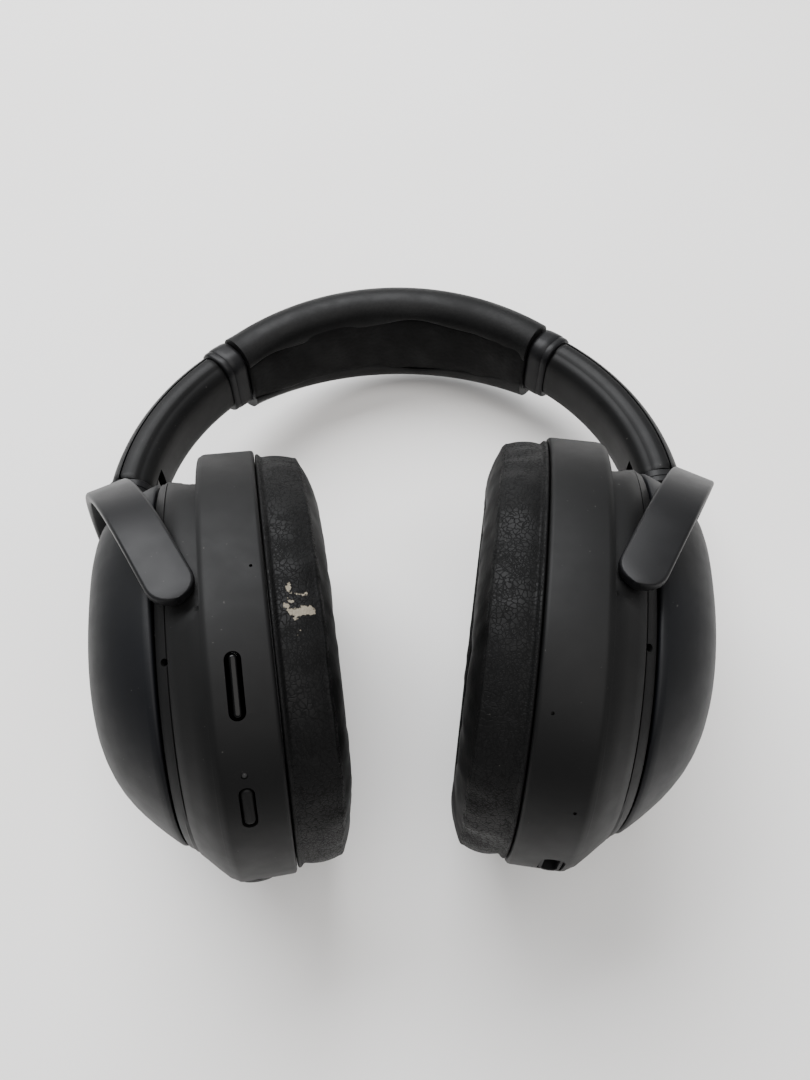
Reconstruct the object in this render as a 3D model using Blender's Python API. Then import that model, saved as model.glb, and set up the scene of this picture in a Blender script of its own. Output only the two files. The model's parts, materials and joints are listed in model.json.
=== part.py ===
"""Over ear headphones that fold, swivel and extend, lying on a table with the rear side up.

The headband plane holds X (across) and Y (from the cups to the crown); Z points to the rear of the head.
The whole object leans a little, because the cups are deeper than the headband is wide.
"""

import math

import bmesh
import bpy
from mathutils import Matrix, Vector

MM = 0.001

# Ear cup: depths are measured outwards from the face where the ear cushion meets the housing.
CUP_HEIGHT = 100.0 * MM
CUP_WIDTH = 84.0 * MM
OVAL_POWER = 2.25
RIM_DEPTH = 12.4 * MM
HOUSING_DEPTH = 22.2 * MM
TAPER_INSET = 6.4 * MM
WALL = 2.0 * MM
PLATE_WALL = 1.6 * MM
PLATE_DEPTH = 18.0 * MM
PLATE_RISE = 11.0 * MM
HOUSING_RISE = 2.5 * MM
CUP_TOE = 9.5
CUP_OFFSET = 30.0 * MM
OVAL_STEPS = 36

# Ear cushion.
CUSHION_DEPTH = 13.0 * MM
CUSHION_INSET = 2.6 * MM
EAR_SPACE_INSET = 20.5 * MM

# Headband: radii are measured from the centre of the band's arc.
BAND_RADIUS = 76.2 * MM
ARM_END_DROP = 5.0 * MM
BAND_HALF_WIDTH = 15.2 * MM
BAND_END_HALF_WIDTH = 12.0 * MM
BAND_THICKNESS = 13.2 * MM
PAD_HALF_ANGLE = 41.0
PAD_TURN = 2.2
COLLAR_ANGLE = 6.0
COLLAR_STEP = 0.7 * MM
ARM_END_ANGLE = 90.0
ARM_THICKNESS = 11.8 * MM
ARM_HALF_WIDTH = 9.8 * MM
COVER_WALL = 1.7 * MM
SPRING_THICKNESS = 0.8 * MM
LINER_THICKNESS = 1.4 * MM
BAND_CUSHION_THICKNESS = 3.6 * MM

# Slider: a curved strip whose own arc is flatter than the band's.
SLIDE_RADIUS = 150.0 * MM
STRIP_THICKNESS = 1.2 * MM
STRIP_HALF_WIDTH = 7.0 * MM
STRIP_BACK = 27.0 * MM
STRIP_FORWARD = 26.0 * MM
STRIP_INSET = 7.0 * MM

# Fold hinge, swivel and yoke.
FOLD_PIN_RADIUS = 1.3 * MM
FOLD_PIN_LENGTH = 15.0 * MM
TONGUE_HALF_WIDTH = 4.0 * MM
HINGE_GAP = 0.6 * MM
KNUCKLE_HEIGHT = 4.2 * MM
SWIVEL_PIN_RADIUS = 2.4 * MM
SWIVEL_REST_LEFT = 4.5
YOKE_THICKNESS = 2.4 * MM
YOKE_WIDTH = 9.6 * MM
YOKE_LEG = 11.0 * MM
YOKE_CROWN_OUTSIDE = 3.57 * MM
YOKE_CROWN_BELOW = 5.84 * MM
NECK_HEIGHT = 2.6 * MM
NECK_WALL = 1.2 * MM
YOKE_PIVOT_DROP = 5.0 * MM
YOKE_PIN_RADIUS = 2.0 * MM
RECESS_DEPTH = 3.1 * MM
RECESS_START = 0.6 * MM

# Driver, electronics and controls.
DRIVER_RADIUS = 20.0 * MM
MAGNET_RADIUS = 9.0 * MM
BAFFLE_THICKNESS = 1.8 * MM
MODE_BUTTON = (12.2 * MM, 2.6 * MM)
POWER_BUTTON = (8.6 * MM, 2.4 * MM)
BUTTON_BODY = 2.8 * MM
BUTTON_SET_BACK = 0.3 * MM
BUTTON_DEPTH_ON_RIM = 7.5 * MM
MODE_BUTTON_DROP = 26.9 * MM
POWER_BUTTON_DROP = 44.6 * MM
LIGHT_DROP = 40.4 * MM
SOCKET_DEPTH_ON_RIM = 8.6 * MM
JACK_RADIUS = 1.75 * MM
JACK_BODY_RADIUS = 3.4 * MM
JACK_FORWARD = 13.0 * MM
CHARGING_FORWARD = 5.0 * MM
CHARGING_PORT = (3.2 * MM, 9.0 * MM)
MICROPHONE_RADIUS = 0.8 * MM

GAP = 0.3 * MM
RUNNING_GAP = 0.5 * MM

HALF_HEIGHT = CUP_HEIGHT / 2
ARC_CENTRE = Vector((0.0, HALF_HEIGHT - ARM_END_DROP, 0.0))
CROWN_HEIGHT = ARC_CENTRE.y + BAND_RADIUS
HALF_WIDTH = CUP_WIDTH / 2
STRIP_CENTRE_ANGLE = PAD_HALF_ANGLE + COLLAR_ANGLE / 2
STRIP_RADIUS = BAND_RADIUS - STRIP_INSET
ARM_SPLIT = BAND_RADIUS - ARM_THICKNESS / 2
YOKE_PIVOT_DEPTH = RIM_DEPTH + RECESS_START + RUNNING_GAP + YOKE_WIDTH / 2
SIDES = {"left": -1, "right": 1}


def start_empty_scene():
    for item in list(bpy.data.objects):
        bpy.data.objects.remove(item)
    parts = bpy.data.collections.new("headphones")
    cutters = bpy.data.collections.new("cutters")
    bpy.context.scene.collection.children.link(parts)
    bpy.context.scene.collection.children.link(cutters)
    return parts, cutters


PARTS, CUTTERS = start_empty_scene()


def make_material(name, colour, roughness, metallic=0.0):
    material = bpy.data.materials.new(name)
    material.use_nodes = True
    shader = material.node_tree.nodes["Principled BSDF"]
    shader.inputs["Base Color"].default_value = (*colour, 1.0)
    shader.inputs["Roughness"].default_value = roughness
    shader.inputs["Metallic"].default_value = metallic
    return material


MATERIALS = {
    "soft_touch_plastic": make_material("soft_touch_plastic", (0.020, 0.020, 0.021), 0.55),
    "satin_plastic": make_material("satin_plastic", (0.030, 0.030, 0.032), 0.40),
    "gloss_plastic": make_material("gloss_plastic", (0.008, 0.008, 0.009), 0.12),
    "leather": make_material("leather", (0.012, 0.012, 0.012), 0.50),
    "steel": make_material("steel", (0.45, 0.45, 0.46), 0.35, 1.0),
    "inner_plastic": make_material("inner_plastic", (0.050, 0.050, 0.055), 0.60),
    "cloth": make_material("cloth", (0.015, 0.015, 0.016), 0.90),
    "circuit_board": make_material("circuit_board", (0.010, 0.060, 0.030), 0.50),
    "battery_wrap": make_material("battery_wrap", (0.12, 0.13, 0.15), 0.40),
    "light_pipe": make_material("light_pipe", (0.35, 0.35, 0.35), 0.30),
    "brass": make_material("brass", (0.60, 0.45, 0.18), 0.30, 1.0),
}


def add_empty(name, parent, location, rotation=(0.0, 0.0, 0.0)):
    empty = bpy.data.objects.new(name, None)
    PARTS.objects.link(empty)
    empty.parent = parent
    empty.location = location
    empty.rotation_euler = rotation
    return empty


def add_object(name, bm, parent, material, side=1):
    """A closed mesh drawn for the right side; side -1 mirrors it across X."""
    if side < 0:
        bmesh.ops.scale(bm, vec=(-1.0, 1.0, 1.0), verts=bm.verts)
    bmesh.ops.recalc_face_normals(bm, faces=bm.faces)
    mesh = bpy.data.meshes.new(name)
    bm.to_mesh(mesh)
    bm.free()
    mesh.shade_smooth()
    mesh.set_sharp_from_angle(angle=math.radians(35))
    item = bpy.data.objects.new(name, mesh)
    item.parent = parent
    if material is None:
        CUTTERS.objects.link(item)
        item.hide_render = True
        item.display_type = "WIRE"
    else:
        PARTS.objects.link(item)
        mesh.materials.append(MATERIALS[material])
    return item


def cut(target, cutter, operation="DIFFERENCE"):
    modifier = target.modifiers.new(cutter.name, "BOOLEAN")
    modifier.operation = operation
    modifier.object = cutter


def loft(bm, rings, closed_ends=True, ring_of_rings=False):
    """Skins rings of points that all have the same count; ends are capped, or the last ring meets the first."""
    rows = [[bm.verts.new(point) for point in ring] for ring in rings]
    pairs = list(zip(rows, rows[1:]))
    if ring_of_rings:
        pairs.append((rows[-1], rows[0]))
    for lower, upper in pairs:
        count = len(lower)
        for i in range(count):
            j = (i + 1) % count
            bm.faces.new((lower[i], lower[j], upper[j], upper[i]))
    if closed_ends and not ring_of_rings:
        bm.faces.new(rows[0])
        bm.faces.new(rows[-1])
    return bm


def signed_power(value, power):
    return math.copysign(abs(value) ** power, value)


def oval_point(angle, inset, depth=0.0):
    """A point of the cup's oval: angle 0 is the top of the cup, 90 degrees its rear."""
    power = 2 / OVAL_POWER
    up = (HALF_HEIGHT - inset) * signed_power(math.cos(angle), power)
    rear = (HALF_WIDTH - inset) * signed_power(math.sin(angle), power)
    return Vector((depth, up, rear))


def oval_ring(depth, inset, rise=0.0):
    """A ring of the cup's oval; rise lifts its foot and fades out toward its top."""
    ring = [oval_point(2 * math.pi * i / OVAL_STEPS, inset, depth) for i in range(OVAL_STEPS)]
    for point in ring:
        point.y += rise * (1 - point.y / HALF_HEIGHT) / 2
    return ring


def round_ring(depth, radius):
    steps = [2 * math.pi * i / OVAL_STEPS for i in range(OVAL_STEPS)]
    return [Vector((depth, radius * math.cos(a), radius * math.sin(a))) for a in steps]


def seated_in_cup(point):
    """From the cup's own depth, up and rear directions to the tilt axis that carries the cup."""
    return Vector((point[0] - YOKE_PIVOT_DEPTH, point[1] + YOKE_PIVOT_DROP, point[2]))


def cup_to_frame(depth, up, rear=0.0):
    """Where a point of the right cup lies in the headband's frame, with the swivel straight."""
    toe = math.radians(CUP_TOE)
    across = CUP_OFFSET + depth * math.cos(toe) + up * math.sin(toe)
    return Vector((across, up * math.cos(toe) - depth * math.sin(toe), rear))


def shift(bm, offset):
    bmesh.ops.translate(bm, vec=offset, verts=bm.verts)
    return bm


def cup_piece(name, rings, parent, material, side, ring_of_rings=False):
    bm = loft(bmesh.new(), rings, ring_of_rings=ring_of_rings)
    shift(bm, seated_in_cup(Vector((0.0, 0.0, 0.0))))
    return add_object(name, bm, parent, material, side)


def arc_point(angle, radius, rear):
    a = math.radians(angle)
    return ARC_CENTRE + Vector((radius * math.sin(a), radius * math.cos(a), rear))


def arc_piece(name, section, start, end, parent, material, side=1, steps=16, origin=None):
    """A strip that follows the band's arc; section gives the (radius, rear) outline at an angle."""
    angles = [start + (end - start) * i / steps for i in range(steps + 1)]
    rings = [[arc_point(a, r, z) for r, z in section(a)] for a in angles]
    bm = loft(bmesh.new(), rings)
    if origin is not None:
        shift(bm, -origin)
    return add_object(name, bm, parent, material, side)


def band_half_width(angle):
    share = abs(angle) / PAD_HALF_ANGLE
    return BAND_HALF_WIDTH + (BAND_END_HALF_WIDTH - BAND_HALF_WIDTH) * share ** 2


def rounded_section(inner, outer, half_width, corner):
    """A rectangle in (radius, rear) with its four corners rounded by three points each."""
    points = []
    centres = (
        (outer - corner, half_width - corner, 0),
        (inner + corner, half_width - corner, 90),
        (inner + corner, corner - half_width, 180),
        (outer - corner, corner - half_width, 270),
    )
    for radius, rear, first in centres:
        for turn in (0, 45, 90):
            a = math.radians(first + turn)
            points.append((radius + corner * math.cos(a), rear + corner * math.sin(a)))
    return points


def channel_section(angle):
    """The headband cover: a wall outside and a flange down each edge."""
    half = band_half_width(angle)
    inner = BAND_RADIUS - BAND_THICKNESS + BAND_CUSHION_THICKNESS
    under = BAND_RADIUS - COVER_WALL
    inside = half - COVER_WALL
    corner = 1.2 * MM
    return [
        (BAND_RADIUS, corner - half), (BAND_RADIUS, half - corner), (BAND_RADIUS - corner, half), (inner, half),
        (inner, inside), (under, inside), (under, -inside), (inner, -inside), (inner, -half),
        (BAND_RADIUS - corner, -half),
    ]


def strip_piece(name, parent, material, side, grow, back, forward, origin):
    """The slider strip, or the room it needs, along its own flatter arc."""
    centre = slide_centre()
    half = STRIP_THICKNESS / 2 + grow
    wide = STRIP_HALF_WIDTH + grow
    steps = 8
    rings = []
    for i in range(steps + 1):
        run = -back + (back + forward) * i / steps
        a = math.radians(STRIP_CENTRE_ANGLE) + run / SLIDE_RADIUS
        out = Vector((math.sin(a), math.cos(a), 0.0))
        inner = centre + out * (SLIDE_RADIUS - half)
        outer = centre + out * (SLIDE_RADIUS + half)
        rear = Vector((0.0, 0.0, wide))
        rings.append([inner - rear, outer - rear, outer + rear, inner + rear])
    bm = shift(loft(bmesh.new(), rings), -origin)
    return add_object(name, bm, parent, material, side)


def pad_end(side):
    """Where the padded part ends; the padding sits a little round to the left, as the sliders are set unevenly."""
    return PAD_HALF_ANGLE - side * PAD_TURN


def collar_end(side):
    return pad_end(side) + 0.3 + COLLAR_ANGLE


def slide_centre():
    a = math.radians(STRIP_CENTRE_ANGLE)
    return arc_point(STRIP_CENTRE_ANGLE, STRIP_RADIUS, 0.0) - SLIDE_RADIUS * Vector((math.sin(a), math.cos(a), 0.0))


def block(size, centre, bevel=0.0, segments=1, turn=None):
    bm = bmesh.new()
    bmesh.ops.create_cube(bm, size=1.0)
    bmesh.ops.scale(bm, vec=size, verts=bm.verts)
    if bevel:
        bmesh.ops.bevel(bm, geom=bm.edges, offset=bevel, segments=segments, profile=0.5, affect="EDGES", material=-1)
    if turn is not None:
        bmesh.ops.transform(bm, matrix=turn.to_4x4(), verts=bm.verts)
    return shift(bm, centre)


def cylinder(radius, length, centre, axis, segments=20, tip_radius=None):
    bm = bmesh.new()
    tip = radius if tip_radius is None else tip_radius
    bmesh.ops.create_cone(bm, cap_ends=True, segments=segments, radius1=radius, radius2=tip, depth=length)
    turn = Vector((0.0, 0.0, 1.0)).rotation_difference(Vector(axis)).to_matrix()
    bmesh.ops.transform(bm, matrix=turn.to_4x4(), verts=bm.verts)
    return shift(bm, centre)


# ---------------------------------------------------------------- frames of the moving bodies


def fold_axis():
    """The fold pin's place: just inside the arm's inner face, above its end."""
    return Vector((BAND_RADIUS - ARM_THICKNESS + 2.6 * MM, ARC_CENTRE.y + 3.6 * MM, 0.0))


def swivel_axis():
    return Vector((BAND_RADIUS - ARM_THICKNESS / 2, knuckle_bottom(), 0.0))


def knuckle_bottom():
    return ARC_CENTRE.y - HINGE_GAP - KNUCKLE_HEIGHT


def tilt_axis():
    return cup_to_frame(YOKE_PIVOT_DEPTH, -YOKE_PIVOT_DROP)


def mirrored(point, side):
    return Vector((side * point.x, point.y, point.z))


def make_frames():
    """The root leans so that both cups and the headband's front edge touch the table."""
    lean = math.asin((HALF_WIDTH - BAND_HALF_WIDTH * 0.98) / CROWN_HEIGHT)
    drop = (swivel_axis().x - CUP_OFFSET) * math.sin(math.radians(SWIVEL_REST_LEFT))
    roll = math.atan(drop / (2 * CUP_OFFSET))
    root = add_empty("headphones", None, (0.0, 0.0, 0.0), (-lean, roll, 0.0))
    frames = {"root": root}
    for word, side in SIDES.items():
        arm = add_empty(f"{word}_arm_axis", root, mirrored(slide_centre(), side))
        fold = add_empty(f"{word}_fold_axis", arm, mirrored(fold_axis() - slide_centre(), side))
        rest = math.radians(SWIVEL_REST_LEFT) if side < 0 else 0.0
        swivel = add_empty(f"{word}_swivel_axis", fold, mirrored(swivel_axis() - fold_axis(), side), (0.0, rest, 0.0))
        toe = (0.0, 0.0, -side * math.radians(CUP_TOE))
        tilt = add_empty(f"{word}_tilt_axis", swivel, mirrored(tilt_axis() - swivel_axis(), side), toe)
        frames[word] = {"arm": arm, "fold": fold, "swivel": swivel, "tilt": tilt}
    return frames


FRAMES = make_frames()


# ---------------------------------------------------------------- headband


def liner_inner():
    return BAND_RADIUS - BAND_THICKNESS + BAND_CUSHION_THICKNESS + GAP


def make_headband():
    root = FRAMES["root"]
    left = -pad_end(SIDES["left"])
    right = pad_end(SIDES["right"])
    arc_piece("headband_cover", channel_section, left, right, root, "soft_touch_plastic", steps=20)
    spring_outer = BAND_RADIUS - COVER_WALL - GAP
    spring_inner = spring_outer - SPRING_THICKNESS
    spring_half = BAND_END_HALF_WIDTH - COVER_WALL - 1.3 * MM

    def spring(_):
        return [(spring_inner, -spring_half), (spring_outer, -spring_half), (spring_outer, spring_half),
                (spring_inner, spring_half)]

    def liner(angle):
        half = band_half_width(angle) - COVER_WALL - GAP
        outer = liner_inner() + LINER_THICKNESS
        return [(liner_inner(), -half), (outer, -half), (outer, half), (liner_inner(), half)]

    def cushion(angle):
        outer = liner_inner() - 2 * GAP
        return rounded_section(BAND_RADIUS - BAND_THICKNESS, outer, band_half_width(angle) - GAP, 1.4 * MM)

    arc_piece("headband_spring", spring, left + 1, right - 1, root, "steel", steps=18)
    arc_piece("headband_liner", liner, left, right, root, "inner_plastic", steps=18)
    arc_piece("headband_cushion", cushion, left, right, root, "leather", steps=22)
    for word, side in SIDES.items():
        make_collar(word, side)


def make_collar(word, side):
    root = FRAMES["root"]
    inner = BAND_RADIUS - ARM_THICKNESS - COLLAR_STEP
    outer = BAND_RADIUS + COLLAR_STEP

    def ring(_):
        return rounded_section(inner, outer, ARM_HALF_WIDTH + 1.4 * MM, 3.6 * MM)

    collar = arc_piece(f"headband_collar_{word}", ring, pad_end(side) + 0.3, collar_end(side), root, "satin_plastic",
                       side, steps=3)
    room = strip_piece(f"strip_room_{word}", root, None, side, RUNNING_GAP, 20 * MM, 20 * MM, Vector((0, 0, 0)))
    cut(collar, room)


# ---------------------------------------------------------------- arms and sliders


def make_arm(word, side):
    arm = FRAMES[word]["arm"]
    origin = slide_centre()
    strip_piece(f"slider_strip_{word}", arm, "steel", side, 0.0, STRIP_BACK, STRIP_FORWARD, origin)
    room = strip_piece(f"strip_seat_{word}", arm, None, side, GAP, STRIP_BACK, STRIP_FORWARD + GAP, origin)
    start = collar_end(side) + 0.5

    def outer_half(_):
        edge = 3.0 * MM
        half = ARM_HALF_WIDTH
        inner = ARM_SPLIT + GAP / 2
        return [(inner, -half), (BAND_RADIUS - edge, -half), (BAND_RADIUS - 0.9 * MM, 0.9 * MM - half + edge / 2.5),
                (BAND_RADIUS, edge - half), (BAND_RADIUS, half - edge),
                (BAND_RADIUS - 0.9 * MM, half - 0.9 * MM - edge / 2.5), (BAND_RADIUS - edge, half), (inner, half)]

    def inner_half(_):
        edge = 3.0 * MM
        half = ARM_HALF_WIDTH
        inner = BAND_RADIUS - ARM_THICKNESS
        outer = ARM_SPLIT - GAP / 2
        return [(outer, half), (inner + edge, half), (inner + 0.9 * MM, half - 0.9 * MM - edge / 2.5),
                (inner, half - edge), (inner, edge - half), (inner + 0.9 * MM, 0.9 * MM - half + edge / 2.5),
                (inner + edge, -half), (outer, -half)]

    cover = arc_piece(f"arm_outer_cover_{word}", outer_half, start, ARM_END_ANGLE, arm, "soft_touch_plastic",
                      side, steps=14, origin=origin)
    body = arc_piece(f"arm_inner_cover_{word}", inner_half, start, ARM_END_ANGLE, arm, "soft_touch_plastic",
                     side, steps=14, origin=origin)
    cut(cover, room)
    cut(body, room)
    pin_at = fold_axis() - origin
    bore = add_object(f"fold_bore_{word}",
                      cylinder(FOLD_PIN_RADIUS + GAP, FOLD_PIN_LENGTH + 2 * GAP, pin_at, (0, 0, 1), 16), arm, None, side)
    slot_height = 9.0 * MM
    slot = add_object(
        f"tongue_slot_{word}",
        block((ARM_THICKNESS, slot_height, 2 * (TONGUE_HALF_WIDTH + GAP)),
              pin_at + Vector((ARM_THICKNESS / 2 - 4.6 * MM, 4.1 * MM - slot_height / 2, 0.0))),
        arm, None, side)
    cut(body, bore)
    cut(body, slot)
    cut(cover, slot)
    add_object(f"fold_pin_{word}", cylinder(FOLD_PIN_RADIUS, FOLD_PIN_LENGTH, pin_at, (0, 0, 1), 16), arm, "steel",
               side)


def make_knuckle(word, side):
    fold = FRAMES[word]["fold"]
    origin = fold_axis()
    centre = Vector((swivel_axis().x, knuckle_bottom() + KNUCKLE_HEIGHT / 2, 0.0)) - origin
    half_across = ARM_THICKNESS / 2 + 0.6 * MM
    half_rear = ARM_HALF_WIDTH + 0.4 * MM
    rings = []
    for height, inset in ((-0.5, 0.5), (-0.4, 0.0), (0.4, 0.0), (0.5, 0.5)):
        ring = []
        for i in range(24):
            a = 2 * math.pi * i / 24
            x = (half_across - inset * MM) * signed_power(math.cos(a), 0.7)
            z = (half_rear - inset * MM) * signed_power(math.sin(a), 0.7)
            ring.append(centre + Vector((x, height * KNUCKLE_HEIGHT, z)))
        rings.append(ring)
    ring_body = add_object(f"hinge_knuckle_{word}", loft(bmesh.new(), rings), fold, "satin_plastic", side)
    tongue_length = -centre.y
    tongue = block((5.2 * MM, tongue_length, 2 * TONGUE_HALF_WIDTH), Vector((0.0, -tongue_length / 2, 0.0)))
    tongue_root = add_object(f"tongue_{word}", tongue, fold, None, side)
    tongue_eye = add_object(f"tongue_eye_{word}", cylinder(2.6 * MM, 2 * TONGUE_HALF_WIDTH, (0, 0, 0), (0, 0, 1), 20),
                            fold, None, side)
    cut(ring_body, tongue_root, "UNION")
    cut(ring_body, tongue_eye, "UNION")
    eye_bore = add_object(f"tongue_bore_{word}", cylinder(FOLD_PIN_RADIUS + GAP, 12 * MM, (0, 0, 0), (0, 0, 1), 16),
                          fold, None, side)
    cut(ring_body, eye_bore)
    depth = KNUCKLE_HEIGHT - 1.0 * MM
    swivel_at = swivel_axis() - origin
    socket = add_object(f"swivel_socket_{word}",
                        cylinder(SWIVEL_PIN_RADIUS + GAP, 2 * depth, swivel_at, (0, 1, 0), 20), fold, None, side)
    cut(ring_body, socket)


# ---------------------------------------------------------------- yoke


def yoke_reach():
    """From the tilt axis to the hoop's crown, which lies under the neck."""
    return swivel_axis() + Vector((YOKE_CROWN_OUTSIDE, -YOKE_CROWN_BELOW, 0.0)) - tilt_axis()


def yoke_path():
    """Half of the hoop in its own plane: (distance from the pivots, rear), from the rear leg's end to the front's."""
    middle = HALF_WIDTH - RECESS_DEPTH + 2 * GAP + YOKE_THICKNESS / 2
    end = YOKE_WIDTH / 2
    points = []
    for turn in (80, 60, 35, 0):
        a = math.radians(turn)
        points.append((-end * math.sin(a), middle, end * math.cos(a)))
    rise = yoke_reach().length - YOKE_LEG
    steps = 20
    for i in range(steps + 1):
        a = math.pi * i / steps
        points.append((YOKE_LEG + rise * math.sin(a), middle * math.cos(a), end))
    for along, rear, half in reversed(points[:4]):
        points.append((along, -rear, half))
    return points


def make_yoke(word, side):
    swivel = FRAMES[word]["swivel"]
    origin = swivel_axis()
    up = yoke_reach().normalized()
    across = Vector((up.y, -up.x, 0.0))
    start = tilt_axis() - origin
    path = yoke_path()
    rings = []
    for i, (along, rear, half) in enumerate(path):
        before = path[max(i - 1, 0)]
        after = path[min(i + 1, len(path) - 1)]
        run = Vector((after[0] - before[0], after[1] - before[1])).normalized()
        out = up * -run.y + Vector((0.0, 0.0, run.x))
        middle = start + up * along + Vector((0.0, 0.0, rear))
        thick = out * (YOKE_THICKNESS / 2)
        wide = across * half
        rings.append([middle - thick - wide, middle + thick - wide, middle + thick + wide, middle - thick + wide])
    hoop = add_object(f"yoke_{word}", loft(bmesh.new(), rings), swivel, "satin_plastic", side)
    neck_top = -RUNNING_GAP
    neck_half = SWIVEL_PIN_RADIUS + GAP + NECK_WALL
    neck = block((2 * neck_half, NECK_HEIGHT, 13 * MM), Vector((0.0, neck_top - NECK_HEIGHT / 2, 0.0)), 0.5 * MM)
    cut(hoop, add_object(f"yoke_neck_{word}", neck, swivel, None, side), "UNION")
    bore = cylinder(SWIVEL_PIN_RADIUS + GAP, 20 * MM, Vector((0.0, 0.0, 0.0)), (0, 1, 0))
    cut(hoop, add_object(f"neck_bore_{word}", bore, swivel, None, side))
    pin_top = KNUCKLE_HEIGHT - 1.0 * MM - GAP
    pin_length = pin_top - neck_top + NECK_HEIGHT
    pin = cylinder(SWIVEL_PIN_RADIUS, pin_length, Vector((0.0, pin_top - pin_length / 2, 0.0)), (0, 1, 0))
    add_object(f"swivel_pin_{word}", pin, swivel, "steel", side)
    for end, sign in (("rear", 1), ("front", -1)):
        face = HALF_WIDTH - RECESS_DEPTH + GAP
        inside = face - 5.5 * MM
        pin = cylinder(YOKE_PIN_RADIUS, face - inside, start + Vector((0.0, 0.0, sign * (face + inside) / 2)), (0, 0, 1),
                       16)
        add_object(f"yoke_pivot_pin_{end}_{word}", pin, swivel, "steel", side)


# ---------------------------------------------------------------- ear cup


def taper(depth):
    """How far the housing has drawn in at a depth past the rim."""
    return TAPER_INSET * (depth - RIM_DEPTH) / (HOUSING_DEPTH - RIM_DEPTH)


def make_housing(word, side):
    tilt = FRAMES[word]["tilt"]
    deep_wall = RECESS_DEPTH + WALL
    rings = [
        oval_ring(0.0, 0.5 * MM),
        oval_ring(0.5 * MM, 0.0),
        oval_ring(RIM_DEPTH - 0.4 * MM, 0.0),
        oval_ring(RIM_DEPTH + 0.5 * MM, taper(RIM_DEPTH + 1.3 * MM)),
        oval_ring(HOUSING_DEPTH, TAPER_INSET, HOUSING_RISE),
        oval_ring(HOUSING_DEPTH, TAPER_INSET + 2.6 * MM, HOUSING_RISE),
        oval_ring(RIM_DEPTH - 1.2 * MM, deep_wall),
        oval_ring(RIM_DEPTH - 2.6 * MM, WALL),
        oval_ring(0.0, WALL),
    ]
    housing = cup_piece(f"cup_housing_{word}", rings, tilt, "soft_touch_plastic", side, ring_of_rings=True)
    cut(housing, make_recess(word, side))
    for end, sign in (("rear", 1), ("front", -1)):
        bore = cylinder(YOKE_PIN_RADIUS + GAP, 20 * MM, Vector((0.0, 0.0, sign * HALF_WIDTH)), (0, 0, 1), 16)
        cut(housing, add_object(f"pivot_bore_{end}_{word}", bore, tilt, None, side))
    return housing


def make_recess(word, side):
    """The step that leaves room for the yoke round the upper part of the taper."""
    first = RIM_DEPTH + RECESS_START
    last = HOUSING_DEPTH + 4 * MM
    outside = -6 * MM
    rings = [
        oval_ring(first, outside), oval_ring(last, outside), oval_ring(last, RECESS_DEPTH),
        oval_ring(first, RECESS_DEPTH),
    ]
    bm = loft(bmesh.new(), rings, ring_of_rings=True)
    shift(bm, seated_in_cup(Vector((0.0, 0.0, 0.0))))
    low = Vector((0.0, -YOKE_WIDTH / 2 - 1.6 * MM, 0.0))
    cutting = bmesh.ops.bisect_plane(bm, geom=bm.verts[:] + bm.edges[:] + bm.faces[:], plane_co=low,
                                     plane_no=(0.0, 1.0, 0.0), clear_inner=True)
    edges = [e for e in cutting["geom_cut"] if isinstance(e, bmesh.types.BMEdge)]
    bmesh.ops.edgeloop_fill(bm, edges=edges)
    return add_object(f"yoke_recess_{word}", bm, FRAMES[word]["tilt"], None, side)


def plate_profile(wall):
    """(depth, inset, rise) of the outer plate's skin, from its edge to near its middle, which sits high on the cup."""
    skin = ((0.035, 6.4), (0.14, 7.2), (0.38, 9.4), (0.60, 12.2), (0.76, 15.6), (0.87, 20.0), (0.95, 27.0), (1.0, 36.0))
    rings = []
    for i, (share, inset) in enumerate(skin):
        depth = HOUSING_DEPTH + share * PLATE_DEPTH - (wall if i else 0.0)
        rings.append((depth, inset * MM + wall, HOUSING_RISE + share * (PLATE_RISE - HOUSING_RISE)))
    return rings


def make_outer_plate(word, side):
    outside = [oval_ring(*ring) for ring in plate_profile(0.0)]
    inside = [oval_ring(*ring) for ring in reversed(plate_profile(PLATE_WALL))]
    cup_piece(f"outer_plate_{word}", inside + outside, FRAMES[word]["tilt"], "soft_touch_plastic", side)


def make_cushion(word, side):
    tilt = FRAMES[word]["tilt"]
    profile = (
        (-0.3, 3.0), (-3.5, 2.6), (-9.0, 3.0), (-12.0, 5.2), (-13.0, 9.0), (-12.9, 14.0), (-11.2, 18.4), (-7.5, 20.5),
        (-0.3, 20.5),
    )
    rings = []
    for depth, inset in profile:
        spread = (inset - 3.0) / 17.5
        inset_here = CUSHION_INSET + 0.4 * MM + spread * (EAR_SPACE_INSET - CUSHION_INSET - 0.4 * MM)
        rings.append(oval_ring(depth * CUSHION_DEPTH / 13.0, inset_here))
    cup_piece(f"ear_cushion_{word}", rings, tilt, "leather", side, ring_of_rings=True)
    plate = [
        oval_ring(GAP, WALL + GAP), oval_ring(GAP + 1.0 * MM, WALL + GAP),
        oval_ring(GAP + 1.0 * MM, EAR_SPACE_INSET), oval_ring(GAP, EAR_SPACE_INSET),
    ]
    cup_piece(f"cushion_mounting_ring_{word}", plate, tilt, "inner_plastic", side, ring_of_rings=True)


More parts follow.
